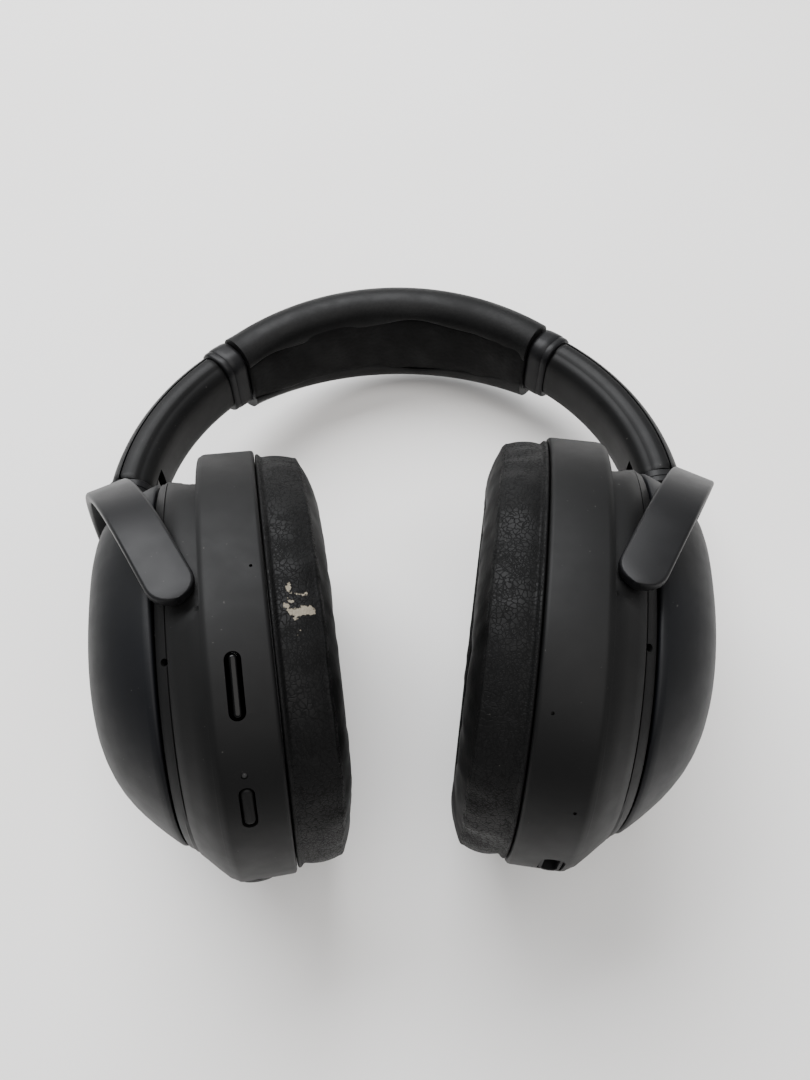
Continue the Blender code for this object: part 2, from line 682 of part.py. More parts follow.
def make_driver(word, side):
    tilt = FRAMES[word]["tilt"]
    cloth_at = GAP
    cloth_inset = EAR_SPACE_INSET + GAP
    cloth = [oval_ring(cloth_at, cloth_inset), oval_ring(cloth_at + 0.5 * MM, cloth_inset)]
    cup_piece(f"driver_cloth_{word}", cloth, tilt, "cloth", side)
    front = GAP + 1.0 * MM + GAP
    back = front + BAFFLE_THICKNESS
    hole = DRIVER_RADIUS + GAP
    rings = [oval_ring(front, WALL + GAP), oval_ring(back, WALL + GAP), round_ring(back, hole), round_ring(front, hole)]
    cup_piece(f"baffle_{word}", rings, tilt, "inner_plastic", side, ring_of_rings=True)
    rim = DRIVER_RADIUS - 2.0 * MM
    basket = [
        round_ring(front, DRIVER_RADIUS), round_ring(back + 2.0 * MM, DRIVER_RADIUS),
        round_ring(back + 5.0 * MM, MAGNET_RADIUS + 2.2 * MM), round_ring(back + 5.0 * MM, MAGNET_RADIUS + GAP),
        round_ring(back + 3.8 * MM, MAGNET_RADIUS + GAP), round_ring(back + 1.0 * MM, rim), round_ring(front, rim),
    ]
    cup_piece(f"driver_frame_{word}", basket, tilt, "inner_plastic", side, ring_of_rings=True)
    cone_radius = rim - GAP
    cone = [
        round_ring(front + 0.4 * MM, cone_radius), round_ring(front + 0.9 * MM, cone_radius),
        round_ring(front + 2.2 * MM, cone_radius * 0.4),
    ]
    cup_piece(f"driver_diaphragm_{word}", cone, tilt, "cloth", side)
    magnet = [round_ring(back + 1.4 * MM, MAGNET_RADIUS), round_ring(back + 6.4 * MM, MAGNET_RADIUS)]
    cup_piece(f"driver_magnet_{word}", magnet, tilt, "steel", side)


# ---------------------------------------------------------------- controls and electronics


def rim_spot(drop, depth, below=0.0):
    """A point on the rear of the rim at a drop below the middle, with its outward and tangent directions."""
    power = OVAL_POWER
    rear = HALF_WIDTH * (1 - (drop / HALF_HEIGHT) ** power) ** (1 / power)
    outward = Vector((0.0, -(drop / HALF_HEIGHT) ** (power - 1) / HALF_HEIGHT,
                      (rear / HALF_WIDTH) ** (power - 1) / HALF_WIDTH)).normalized()
    along = Vector((0.0, outward.z, -outward.y))
    return seated_in_cup(Vector((depth, -drop, rear))) - outward * below, outward, along


def rim_block(size, drop, below, bevel, segments=2):
    """A rounded bar set into the rim: size is its length along the rim, its width and its depth."""
    centre, outward, along = rim_spot(drop, BUTTON_DEPTH_ON_RIM, below)
    turn = Matrix((Vector((1.0, 0.0, 0.0)), along, outward)).transposed()
    bm = bmesh.new()
    bmesh.ops.create_cube(bm, size=1.0)
    bmesh.ops.scale(bm, vec=(size[1], size[0], size[2]), verts=bm.verts)
    corners = [e for e in bm.edges if abs((e.verts[0].co - e.verts[1].co).z) > size[2] / 2]
    bmesh.ops.bevel(bm, geom=corners, offset=bevel, segments=segments, profile=0.5, affect="EDGES", material=-1)
    bmesh.ops.transform(bm, matrix=turn.to_4x4(), verts=bm.verts)
    return shift(bm, centre)


def make_buttons(housing):
    tilt = FRAMES["left"]["tilt"]
    side = SIDES["left"]
    buttons = (("mode_button", MODE_BUTTON, MODE_BUTTON_DROP, "gloss_plastic"),
               ("power_button", POWER_BUTTON, POWER_BUTTON_DROP, "soft_touch_plastic"))
    for name, size, drop, material in buttons:
        below = BUTTON_SET_BACK + BUTTON_BODY / 2
        body = rim_block((size[0], size[1], BUTTON_BODY), drop, below, size[1] * 0.48)
        add_object(name, body, tilt, material, side)
        hole = rim_block((size[0] + 2 * GAP, size[1] + 2 * GAP, 10 * MM), drop, 0.0, size[1] * 0.48)
        cut(housing, add_object(f"{name}_hole", hole, tilt, None, side))


def make_light(housing):
    tilt = FRAMES["left"]["tilt"]
    centre, outward, _ = rim_spot(LIGHT_DROP, BUTTON_DEPTH_ON_RIM)
    hole = cylinder(0.6 * MM + GAP / 2, 10 * MM, centre, outward, 12)
    cut(housing, add_object("status_light_hole", hole, tilt, None, SIDES["left"]))
    pipe_length = 3.0 * MM
    pipe = cylinder(0.6 * MM, pipe_length, centre - outward * (pipe_length / 2 + 0.1 * MM), outward, 12)
    add_object("status_light_pipe", pipe, tilt, "light_pipe", SIDES["left"])


def make_microphones(housing, word, side):
    tilt = FRAMES[word]["tilt"]
    angle = math.radians(112)
    depth = HOUSING_DEPTH - 1.4 * MM
    spot = oval_point(angle, taper(depth), depth)
    outward = Vector((0.5, spot.y / HALF_HEIGHT, spot.z / HALF_WIDTH)).normalized()
    at = seated_in_cup(spot)
    hole = cylinder(MICROPHONE_RADIUS, 14 * MM, at, outward, 12)
    cut(housing, add_object(f"microphone_hole_{word}", hole, tilt, None, side))
    capsule = block((3.0 * MM, 4.0 * MM, 1.4 * MM), Vector((0.0, 0.0, 0.0)), 0.2 * MM)
    turn = Vector((0.0, 0.0, 1.0)).rotation_difference(outward).to_matrix()
    bmesh.ops.transform(capsule, matrix=turn.to_4x4(), verts=capsule.verts)
    shift(capsule, at - outward * 8.6 * MM)
    add_object(f"microphone_{word}", capsule, tilt, "brass", side)


def foot_spot(forward):
    """A point on the bottom of the rim, a little forward of the middle."""
    drop = HALF_HEIGHT * (1 - (forward / HALF_WIDTH) ** OVAL_POWER) ** (1 / OVAL_POWER)
    return seated_in_cup(Vector((SOCKET_DEPTH_ON_RIM, -drop, -forward)))


def make_sockets(left_housing, right_housing):
    at = foot_spot(JACK_FORWARD)
    down = Vector((0.0, -1.0, 0.0))
    left = FRAMES["left"]["tilt"]
    side = SIDES["left"]
    hole = cylinder(JACK_BODY_RADIUS + GAP, 16 * MM, at, down, 20)
    cut(left_housing, add_object("jack_hole", hole, left, None, side))
    jack_length = 11.0 * MM
    jack = cylinder(JACK_BODY_RADIUS, jack_length, at - down * (jack_length / 2 + 0.4 * MM), down, 20)
    socket = add_object("headphone_jack_socket", jack, left, "inner_plastic", side)
    bore = cylinder(JACK_RADIUS, jack_length, at - down * (jack_length / 2 - 1.6 * MM), down, 16)
    cut(socket, add_object("jack_bore", bore, left, None, side))
    right = FRAMES["right"]["tilt"]
    side = SIDES["right"]
    at = foot_spot(CHARGING_FORWARD)
    narrow, wide = CHARGING_PORT
    shell = 0.6 * MM
    deep = 7.5 * MM

    def bar(across, rear, length, centre):
        bm = bmesh.new()
        bmesh.ops.create_cube(bm, size=1.0)
        bmesh.ops.scale(bm, vec=(across, length, rear), verts=bm.verts)
        long_edges = [e for e in bm.edges if abs((e.verts[0].co - e.verts[1].co).y) > length / 2]
        bmesh.ops.bevel(bm, geom=long_edges, offset=across * 0.45, segments=3, profile=0.5, affect="EDGES",
                        material=-1)
        return shift(bm, centre)

    hole = bar(narrow + 2 * shell + 2 * GAP, wide + 2 * shell + 2 * GAP, 16 * MM, at)
    cut(right_housing, add_object("charging_hole", hole, right, None, side))
    middle = at - down * (deep / 2 + 0.5 * MM)
    port = add_object("charging_socket", bar(narrow + 2 * shell, wide + 2 * shell, deep, middle), right, "steel", side)
    inside = bar(narrow, wide, deep, middle + down * 1.0 * MM)
    cut(port, add_object("charging_bore", inside, right, None, side))


def make_electronics():
    behind = GAP + 1.0 * MM + GAP + BAFFLE_THICKNESS + 7.4 * MM
    layout = (
        ("battery", "left", (5.2, 34.0, 26.0), (4.0, 8.0, 0.0), "battery_wrap"),
        ("button_board", "left", (1.2, 22.0, 36.0), (0.6, -24.0, 0.0), "circuit_board"),
        ("main_board", "right", (1.2, 52.0, 44.0), (1.6, 4.0, 0.0), "circuit_board"),
        ("power_board", "right", (1.2, 9.0, 24.0), (1.6, -29.5, 0.0), "circuit_board"),
    )
    for name, word, size, place, material in layout:
        centre = seated_in_cup(Vector((behind + place[0] * MM, place[1] * MM, place[2] * MM)))
        bm = block([s * MM for s in size], centre, 0.4 * MM)
        add_object(name, bm, FRAMES[word]["tilt"], material, SIDES[word])


def set_on_table():
    """Moves the root so that the origin is under the middle of the object, on the table."""
    bpy.context.view_layer.update()
    graph = bpy.context.evaluated_depsgraph_get()
    corners = []
    for item in PARTS.objects:
        if item.type == "MESH":
            shape = item.evaluated_get(graph)
            corners += [shape.matrix_world @ vertex.co for vertex in shape.data.vertices]
    low = Vector([min(c[i] for c in corners) for i in range(3)])
    high = Vector([max(c[i] for c in corners) for i in range(3)])
    FRAMES["root"].location = (-(low.x + high.x) / 2, -(low.y + high.y) / 2, -low.z)


def main():
    make_headband()
    housings = {}
    for word, side in SIDES.items():
        make_arm(word, side)
        make_knuckle(word, side)
        make_yoke(word, side)
        housings[word] = make_housing(word, side)
        make_outer_plate(word, side)
        make_cushion(word, side)
        make_driver(word, side)
        make_microphones(housings[word], word, side)
    make_buttons(housings["left"])
    make_light(housings["left"])
    make_sockets(housings["left"], housings["right"])
    make_electronics()
    set_on_table()


main()
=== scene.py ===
"""Over ear headphones lying on a pale table with their rear edge up, seen from above."""

import json
import math

import bmesh
import bpy
from mathutils import Matrix, Vector, noise


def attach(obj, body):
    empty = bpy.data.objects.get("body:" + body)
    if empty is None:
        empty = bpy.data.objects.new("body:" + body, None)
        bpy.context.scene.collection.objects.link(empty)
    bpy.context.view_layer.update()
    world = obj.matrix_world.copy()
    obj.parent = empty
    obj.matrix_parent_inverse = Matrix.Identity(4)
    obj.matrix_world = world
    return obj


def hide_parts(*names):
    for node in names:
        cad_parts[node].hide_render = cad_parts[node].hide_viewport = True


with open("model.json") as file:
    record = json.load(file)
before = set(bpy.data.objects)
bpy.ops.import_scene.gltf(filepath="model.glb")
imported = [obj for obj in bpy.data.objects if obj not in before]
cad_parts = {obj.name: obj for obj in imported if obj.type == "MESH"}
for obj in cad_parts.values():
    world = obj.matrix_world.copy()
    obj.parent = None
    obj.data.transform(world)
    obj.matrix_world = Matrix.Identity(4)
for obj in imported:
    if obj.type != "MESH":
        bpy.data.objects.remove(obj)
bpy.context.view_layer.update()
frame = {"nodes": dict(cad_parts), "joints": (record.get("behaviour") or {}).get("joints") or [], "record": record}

MM = 0.001
SIDES = {"left": -1, "right": 1}
JOINTS = {joint["name"]: joint for joint in frame["joints"]}
SMOOTH = 144

# Sizes of the object, in millimetres, as the CAD has them.
HALF_HEIGHT = 50.0
HALF_WIDTH = 42.0
OVAL_POWER = 2.25
RIM_DEPTH = 12.4
HOUSING_DEPTH = 22.2
TAPER_INSET = 6.4
HOUSING_RISE = 2.5
PLATE_DEPTH = 18.0
PLATE_RISE = 11.0
CUP_TOE = 9.5
PIVOT_DEPTH = 18.3
PIVOT_DROP = 5.0
RECESS = 3.1
TOP_RECESS = 5.0
CONTROL_DEPTH = 7.5
SOCKET_DEPTH = 8.6
JACK_FORWARD = 13.0
CHARGING_FORWARD = 5.0
LIGHT_DROP = 40.4
CUSHION_FACE_INSET = 3.3
PIPING_DEPTH = -12.86
PIPING_INSET = 15.5
BAND_RADIUS = 76.2
BAND_HALF_WIDTH = 15.2
BAND_NARROWING = 3.2
ARC_HEIGHT = 45.0
PAD_ANGLE = 41.0
PAD_TURN = 2.2
ARM_THICKNESS = 11.8
ARM_HALF_WIDTH = 9.8
ARM_START = 6.5
FOLD_PIN_OUT = 67.0
FOLD_PIN_RISE = 3.6
FOLD_PIN_HEIGHT = ARC_HEIGHT + FOLD_PIN_RISE
KNUCKLE_OUT = 70.3
KNUCKLE_HEIGHT = 42.3
TONGUE_RADIUS = 2.6
YOKE_HALF = 4.8
YOKE_HALF_THICKNESS = 1.2
YOKE_CLEARANCE = 0.6
YOKE_LEG = 11.0
YOKE_RISE = 39.0
YOKE_LEAN = 22.7


# ------------------------------------------------------------------ frames


def unit(values):
    return Vector(values).normalized()


def axes_matrix(x, y, z, origin):
    return Matrix.Translation(origin) @ Matrix((x, y, z)).transposed().to_4x4()


def root_frame():
    left = Vector(JOINTS["fold_left"]["pos_m"])
    right = Vector(JOINTS["fold_right"]["pos_m"])
    x = (right - left).normalized()
    z = unit(JOINTS["fold_right"]["axis"])
    y = z.cross(x).normalized()
    return axes_matrix(x, y, z, (left + right) / 2 - y * FOLD_PIN_HEIGHT * MM)


ROOT = root_frame()


def swivel_frame(word):
    """The yoke's frame: x points outwards on either side."""
    y = unit(JOINTS[f"swivel_{word}"]["axis"])
    z = -unit(JOINTS[f"tilt_{word}"]["axis"])
    x = y.cross(z).normalized() * SIDES[word]
    return axes_matrix(x, y, z, Vector(JOINTS[f"swivel_{word}"]["pos_m"]))


def cup_frame(word):
    """The cup's frame: x is depth outwards, y is up toward the crown, z is to the rear."""
    straight = swivel_frame(word).to_3x3()
    toe = math.radians(CUP_TOE)
    x, y, z = straight.col[0], straight.col[1], straight.col[2]
    depth = x * math.cos(toe) - y * math.sin(toe)
    up = x * math.sin(toe) + y * math.cos(toe)
    at = Vector(JOINTS[f"tilt_{word}"]["pos_m"])
    origin = at - depth * PIVOT_DEPTH * MM + up * PIVOT_DROP * MM
    return axes_matrix(depth, up, z, origin)


CUPS = {word: cup_frame(word) for word in SIDES}
SWIVELS = {word: swivel_frame(word) for word in SIDES}


def side_root(word):
    return ROOT @ Matrix.Diagonal((SIDES[word], 1.0, 1.0, 1.0))


# ------------------------------------------------------------------ mesh helpers


def loft(rings, closed=False):
    """Skins rings with equal counts, in millimetres; open ends are filled."""
    bm = bmesh.new()
    row = bmesh.ops.create_circle(bm, cap_ends=False, segments=len(rings[0]), radius=1.0)["verts"]
    for vertex, point in zip(row, rings[0]):
        vertex.co = point
    edges = bm.edges[:]
    for ring in rings[1:] + ([rings[0]] if closed else []):
        made = bmesh.ops.extrude_edge_only(bm, edges=edges)["geom"]
        fresh = {item for item in made if isinstance(item, bmesh.types.BMVert)}
        known = set(fresh)
        following = []
        for vertex in row:
            ends = (edge.other_vert(vertex) for edge in vertex.link_edges)
            following.append(next(end for end in ends if end in known))
        for vertex, point in zip(following, ring):
            vertex.co = point
        new_edges = (item for item in made if isinstance(item, bmesh.types.BMEdge))
        edges = [edge for edge in new_edges if edge.verts[0] in known and edge.verts[1] in known]
        row = following
    if closed:
        bmesh.ops.remove_doubles(bm, verts=bm.verts, dist=1e-5)
    else:
        bmesh.ops.holes_fill(bm, edges=bm.edges, sides=0)
    return bm


def make_piece(name, bm, matrix, material, body, replaces=(), sharp=32.0, subdivide=0):
    """Places a mesh drawn in millimetres and hands it to its body."""
    bmesh.ops.transform(bm, matrix=matrix @ Matrix.Scale(MM, 4), verts=bm.verts)
    bmesh.ops.recalc_face_normals(bm, faces=bm.faces)
    mesh = bpy.data.meshes.new(name)
    bm.to_mesh(mesh)
    bm.free()
    mesh.shade_smooth()
    mesh.set_sharp_from_angle(angle=math.radians(sharp))
    piece = bpy.data.objects.new(name, mesh)
    bpy.context.scene.collection.objects.link(piece)
    mesh.materials.append(material)
    if subdivide:
        modifier = piece.modifiers.new("smooth", "SUBSURF")
        modifier.levels = subdivide
        modifier.render_levels = subdivide
    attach(piece, body)
    if replaces:
        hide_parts(*replaces)
    return piece


def drill(piece, cutters):
    """Cuts holes through a piece and leaves no cutter behind."""
    for cutter in cutters:
        modifier = piece.modifiers.new("hole", "BOOLEAN")
        modifier.operation = "DIFFERENCE"
        modifier.solver = "EXACT"
        modifier.object = cutter
    bpy.context.view_layer.update()
    graph = bpy.context.evaluated_depsgraph_get()
    mesh = bpy.data.meshes.new_from_object(piece.evaluated_get(graph), depsgraph=graph)
    mesh.name = piece.name
    piece.modifiers.clear()
    piece.data = mesh
    for cutter in cutters:
        bpy.data.objects.remove(cutter)


def make_cutter(bm, matrix):
    bmesh.ops.transform(bm, matrix=matrix @ Matrix.Scale(MM, 4), verts=bm.verts)
    bmesh.ops.recalc_face_normals(bm, faces=bm.faces)
    mesh = bpy.data.meshes.new("cutter")
    bm.to_mesh(mesh)
    bm.free()
    cutter = bpy.data.objects.new("cutter", mesh)
    bpy.context.scene.collection.objects.link(cutter)
    return cutter


def signed_power(value, power):
    return math.copysign(abs(value) ** power, value)


def smooth_step(low, high, value):
    share = min(max((value - low) / (high - low), 0.0), 1.0)
    return share * share * (3 - 2 * share)


def oval(angle, depth, inset, rise=0.0):
    up = (HALF_HEIGHT - inset) * signed_power(math.cos(angle), 2 / OVAL_POWER)
    rear = (HALF_WIDTH - inset) * signed_power(math.sin(angle), 2 / OVAL_POWER)
    return Vector((depth, up + rise * (1 - up / HALF_HEIGHT) / 2, rear))


def even_angles(count):
    """Angles that space the oval's points evenly along its edge."""
    fine = [oval(2 * math.pi * i / 1440, 0, 0) for i in range(1441)]
    lengths = [0.0]
    for a, b in zip(fine, fine[1:]):
        lengths.append(lengths[-1] + (b - a).length)
    angles = []
    at = 0
    for i in range(count):
        goal = lengths[-1] * i / count
        while lengths[at + 1] < goal:
            at += 1
        share = (goal - lengths[at]) / (lengths[at + 1] - lengths[at])
        angles.append(2 * math.pi * (at + share) / 1440)
    return angles


ANGLES = even_angles(SMOOTH)


def band_point(angle, radius, rear):
    a = math.radians(angle)
    return Vector((radius * math.sin(a), ARC_HEIGHT + radius * math.cos(a), rear))


def rounded_box(half_x, half_y, corner, steps=5):
    """The outline of a rounded rectangle, counter-clockwise."""
    points = []
    for cx, cy, first in ((1, 1, 0), (-1, 1, 90), (-1, -1, 180), (1, -1, 270)):
        for i in range(steps + 1):
            a = math.radians(first + 90 * i / steps)
            across = cx * (half_x - corner) + corner * math.cos(a)
            points.append((across, cy * (half_y - corner) + corner * math.sin(a)))
    return points


# ------------------------------------------------------------------ materials


def linear(text):
    """An sRGB hex colour as linear light."""
    values = [int(text[i:i + 2], 16) / 255 for i in (0, 2, 4)]
    return tuple(v / 12.92 if v <= 0.04045 else ((v + 0.055) / 1.055) ** 2.4 for v in values) + (1.0,)


def add(tree, kind, settings=None, **inputs):
    """Adds a node; an input is a plain value or another node's socket."""
    made = tree.nodes.new(kind)
    for key, value in (settings or {}).items():
        setattr(made, key, value)
    for key, value in inputs.items():
        socket = made.inputs[int(key[1:]) if key[0] == "i" and key[1:].isdigit() else key.replace("_", " ")]
        if isinstance(value, bpy.types.NodeSocket):
            tree.links.new(value, socket)
        else:
            socket.default_value = value
    return made


def start_material(name):
    material = bpy.data.materials.new(name)
    material.use_nodes = True
    tree = material.node_tree
    shader = tree.nodes["Principled BSDF"]
    place = add(tree, "ShaderNodeTexCoord").outputs["Object"]
    return material, tree, shader, place


def noise_at(tree, place, size_mm, detail=4.0, roughness=0.55):
    """Fractal noise whose features are about size_mm across, from 0 to 1."""
    return add(tree, "ShaderNodeTexNoise", Vector=place, Scale=1000.0 / size_mm, Detail=detail,
               Roughness=roughness).outputs["Fac"]


def span(tree, value, low, high, to_low=0.0, to_high=1.0):
    made = add(tree, "ShaderNodeMapRange", {"interpolation_type": "SMOOTHSTEP"}, Value=value, From_Min=low,
               From_Max=high, To_Min=to_low, To_Max=to_high)
    return made.outputs["Result"]


def maths(tree, operation, a, b):
    return add(tree, "ShaderNodeMath", {"operation": operation}, i0=a, i1=b).outputs[0]


def mix(tree, share, a, b):
    made = add(tree, "ShaderNodeMix", {"data_type": "RGBA"}, i0=share, i6=a, i7=b)
    return made.outputs[2]


def bump(tree, height, depth_mm, strength, before=None):
    made = add(tree, "ShaderNodeBump", Strength=strength, Distance=depth_mm * MM, Height=height)
    if before is not None:
        tree.links.new(before, made.inputs["Normal"])
    return made.outputs["Normal"]


def moulded_plastic(name, dark, light, roughness, grain_mm=0.22, grain_depth=0.02, dust=0.12, metallic=0.0,
                    shine=0.18):
    """Moulded plastic: a fine grain, faint handling marks in its sheen, and sparse dust specks."""
    material, tree, shader, place = start_material(name)
    cloudy = noise_at(tree, place, 26.0, 3.0)
    rubbed = noise_at(tree, place, 5.0, 5.0)
    specks = span(tree, noise_at(tree, place, 0.9, 1.0), 0.77, 0.82, 0.0, dust)
    colour = mix(tree, span(tree, cloudy, 0.35, 0.65), linear(dark), linear(light))
    colour = mix(tree, specks, colour, linear("8c8a86"))
    tree.links.new(colour, shader.inputs["Base Color"])
    marks = span(tree, rubbed, 0.3, 0.7, roughness - 0.02, roughness + 0.03)
    sheen = maths(tree, "ADD", marks, maths(tree, "MULTIPLY", specks, 0.4))
    tree.links.new(sheen, shader.inputs["Roughness"])
    shader.inputs["Metallic"].default_value = metallic
    if not metallic:
        shader.inputs["Specular IOR Level"].default_value = shine
    grain = noise_at(tree, place, grain_mm, 2.0)
    tree.links.new(bump(tree, grain, grain_depth, 0.35), shader.inputs["Normal"])
    return material


def worn_leather(name, patches):
    """Synthetic leather over foam: polygonal crackle, pores, and patches where the skin has peeled off."""
    material, tree, shader, place = start_material(name)
    wander = add(tree, "ShaderNodeTexNoise", Vector=place, Scale=420.0, Detail=3.0).outputs["Color"]
    shifted = add(tree, "ShaderNodeVectorMath", {"operation": "MULTIPLY_ADD"}, i0=wander,
                  i1=(0.0016, 0.0016, 0.0016), i2=place).outputs[0]

    def crackle(cell_mm, width):
        cells = add(tree, "ShaderNodeTexVoronoi", {"feature": "DISTANCE_TO_EDGE"}, Vector=shifted,
                    Scale=1000.0 / cell_mm).outputs["Distance"]
        return span(tree, cells, 0.0, width)

    coarse = crackle(1.0, 0.12)
    fine = crackle(0.5, 0.16)
    where = span(tree, noise_at(tree, place, 9.0, 2.0), 0.42, 0.60)
    fine_here = maths(tree, "MAXIMUM", fine, maths(tree, "SUBTRACT", 1.0, where))
    skin = maths(tree, "MULTIPLY", coarse, fine_here)
    cloudy = span(tree, noise_at(tree, place, 14.0, 4.0), 0.3, 0.7)
    tone = mix(tree, cloudy, linear("050505"), linear("080808"))
    colour = mix(tree, skin, linear("020202"), tone)
    flecks = span(tree, noise_at(tree, place, 0.8, 1.0), 0.81, 0.85, 0.0, 0.35)
    colour = mix(tree, flecks, colour, linear("7d7a74"))
    rough = span(tree, skin, 0.0, 1.0, 0.75, 0.50)
    shader.inputs["Specular IOR Level"].default_value = 0.14
    pores = maths(tree, "MULTIPLY", noise_at(tree, place, 0.5, 3.0), 0.3)
    height = maths(tree, "ADD", maths(tree, "MULTIPLY", skin, 0.8), pores)
    ragged = noise_at(tree, place, 3.2, 5.0)
    for centre, radius in patches:
        from_centre = add(tree, "ShaderNodeVectorMath", {"operation": "DISTANCE"}, i0=place, i1=centre)
        away = from_centre.outputs["Value"]
        reach = maths(tree, "ADD", away, maths(tree, "MULTIPLY", maths(tree, "SUBTRACT", ragged, 0.5), 0.014))
        bare = span(tree, reach, radius - 0.0002, radius + 0.0002, 1.0, 0.0)
        colour = mix(tree, bare, colour, mix(tree, ragged, linear("5f584c"), linear("9b9484")))
        height = maths(tree, "SUBTRACT", height, maths(tree, "MULTIPLY", bare, 0.8))
    tree.links.new(colour, shader.inputs["Base Color"])
    tree.links.new(rough, shader.inputs["Roughness"])
    tree.links.new(bump(tree, height, 0.10, 0.7), shader.inputs["Normal"])
    return material


def plain_leather(name, dark, light, roughness, pore_mm, depth_mm):
    """Leather with a pebbled grain: rounded cells with creases between them."""
    material, tree, shader, place = start_material(name)
    cells = add(tree, "ShaderNodeTexVoronoi", {"feature": "SMOOTH_F1"}, Vector=place, Scale=1000.0 / pore_mm,
                Smoothness=0.4).outputs["Distance"]
    creases = noise_at(tree, place, 7.0, 5.0)
    tone = mix(tree, span(tree, noise_at(tree, place, 22.0, 3.0), 0.35, 0.65), linear(dark), linear(light))
    colour = mix(tree, span(tree, cells, 0.35, 0.75, 0.0, 0.45), tone, linear("080808"))
    tree.links.new(colour, shader.inputs["Base Color"])
    sheen = span(tree, creases, 0.3, 0.7, roughness - 0.06, roughness + 0.08)
    tree.links.new(sheen, shader.inputs["Roughness"])
    first = bump(tree, creases, depth_mm * 3, 0.25)
    pebbles = maths(tree, "SUBTRACT", 1.0, cells)
    tree.links.new(bump(tree, pebbles, depth_mm, 0.7, first), shader.inputs["Normal"])
    shader.inputs["Specular IOR Level"].default_value = 0.14
    return material


def brushed_steel(name, tint):
    """Plain steel drawn along the object's width, so its scratches run one way."""
    material, tree, shader, place = start_material(name)
    drawn = add(tree, "ShaderNodeMapping", Vector=place, Scale=(1.0, 1.0, 24.0)).outputs["Vector"]
    scratches = noise_at(tree, drawn, 2.0, 5.0)
    tree.links.new(mix(tree, scratches, linear(tint), linear("c4c4c6")), shader.inputs["Base Color"])
    tree.links.new(span(tree, scratches, 0.2, 0.8, 0.26, 0.44), shader.inputs["Roughness"])
    shader.inputs["Metallic"].default_value = 1.0
    tree.links.new(bump(tree, scratches, 0.01, 0.3), shader.inputs["Normal"])
    return material


def woven_cloth(name, dark, light, thread_mm):
    """A plain weave: two sets of threads cross, one over the other."""
    material, tree, shader, place = start_material(name)
    parts = add(tree, "ShaderNodeSeparateXYZ", Vector=place)
    turns = 2 * math.pi / (2 * thread_mm * MM)
    phases = [maths(tree, "MULTIPLY", parts.outputs[axis], turns) for axis in ("Y", "Z")]
    waves = [maths(tree, "SINE", phase, 0.0) for phase in phases]
    weave = span(tree, maths(tree, "MULTIPLY", waves[0], waves[1]), -1.0, 1.0)
    tree.links.new(mix(tree, weave, linear(dark), linear(light)), shader.inputs["Base Color"])
    shader.inputs["Roughness"].default_value = 0.9
    tree.links.new(bump(tree, weave, 0.1, 0.7), shader.inputs["Normal"])
    return material


def paper_table(name):
    """A matte pale table top, with the slightest unevenness in its tone."""
    material, tree, shader, place = start_material(name)
    tone = span(tree, noise_at(tree, place, 160.0, 2.0), 0.3, 0.7)
    tree.links.new(mix(tree, tone, linear("f1efec"), linear("f4f3f1")), shader.inputs["Base Color"])
    shader.inputs["Roughness"].default_value = 0.7
    tree.links.new(bump(tree, noise_at(tree, place, 0.6, 2.0), 0.02, 0.2), shader.inputs["Normal"])
    return material


def cup_spot(word, depth, up, rear):
    return tuple(CUPS[word] @ Vector((depth * MM, up * MM, rear * MM)))


PLASTIC = moulded_plastic("soft_touch_black_plastic", "070707", "0c0c0c", 0.54)
PLATE_PLASTIC = moulded_plastic("soft_touch_blue_black_plastic", "07080a", "0b0c0f", 0.52)
ARM_PLASTIC = moulded_plastic("soft_touch_arm_plastic", "080808", "0d0d0d", 0.48)
SATIN = moulded_plastic("satin_grey_plastic", "101011", "161617", 0.42, grain_mm=0.16)
GLOSS = moulded_plastic("gloss_black_plastic", "030303", "060606", 0.16, grain_depth=0.004, dust=0.05)
INNER = moulded_plastic("matte_inner_plastic", "141415", "1c1c1e", 0.62)
BOARD = moulded_plastic("green_circuit_board", "12402a", "185236", 0.45)
WRAP = moulded_plastic("grey_battery_film", "5c6068", "6a6e76", 0.38)
LIGHT_PIPE = moulded_plastic("frosted_light_pipe", "2c2c2c", "3c3c3c", 0.30)
BRASS = moulded_plastic("plated_brass", "b08a3c", "c9a352", 0.28, metallic=1.0)
STEEL = brushed_steel("drawn_steel", "8a8a8c")
CLOTH = woven_cloth("black_acoustic_cloth", "0b0b0c", "26262a", 0.45)
BAND_SKIN = plain_leather("smooth_headband_leather", "0e0e0e", "151515", 0.48, 0.7, 0.02)
BAND_PAD = plain_leather("grained_headband_pad_leather", "030303", "070707", 0.62, 1.2, 0.12)
PEELED = [(cup_spot("left", -4.6, -11.0, 38.9), 0.0012), (cup_spot("left", -6.0, -13.6, 38.3), 0.0011),
          (cup_spot("left", -6.6, -18.6, 37.2), 0.0005)]
# Smoother grain for the face of the cushion; its slightly darker tone is painted shade for the face turned towards
# the other cup.
SHADED_FACE_LEATHER = plain_leather("smooth_cushion_face_leather_painted_shade", "030303", "070707", 0.60, 0.8, 0.04)
EAR_LEATHER = {
    "left": worn_leather("worn_left_cushion_leather", PEELED),
    "right": worn_leather("worn_right_cushion_leather", []),
}
CARRIED = {
    "soft_touch_plastic": PLASTIC, "satin_plastic": SATIN, "gloss_plastic": GLOSS, "leather": BAND_PAD,
    "steel": STEEL, "inner_plastic": INNER, "cloth": CLOTH, "circuit_board": BOARD, "battery_wrap": WRAP,
    "light_pipe": LIGHT_PIPE, "brass": BRASS,
}


def finish_carried_nodes():
    """Every CAD node that stays gets the full material of its slot; only the charging socket gets dark matte
    plastic in place of steel, as painted shade of its deep port.
    """
    slots = {entry["node"]: entry["material_slot"] for entry in frame["record"]["subparts"]}
    for name, item in frame["nodes"].items():
        for place in item.material_slots:
            # The charging socket's dark matte plastic is painted shade for the port it sits in; its own finish is
            # steel.
            place.material = INNER if name == "charging_socket" else CARRIED[slots[name]]


finish_carried_nodes()


# ------------------------------------------------------------------ ear cups


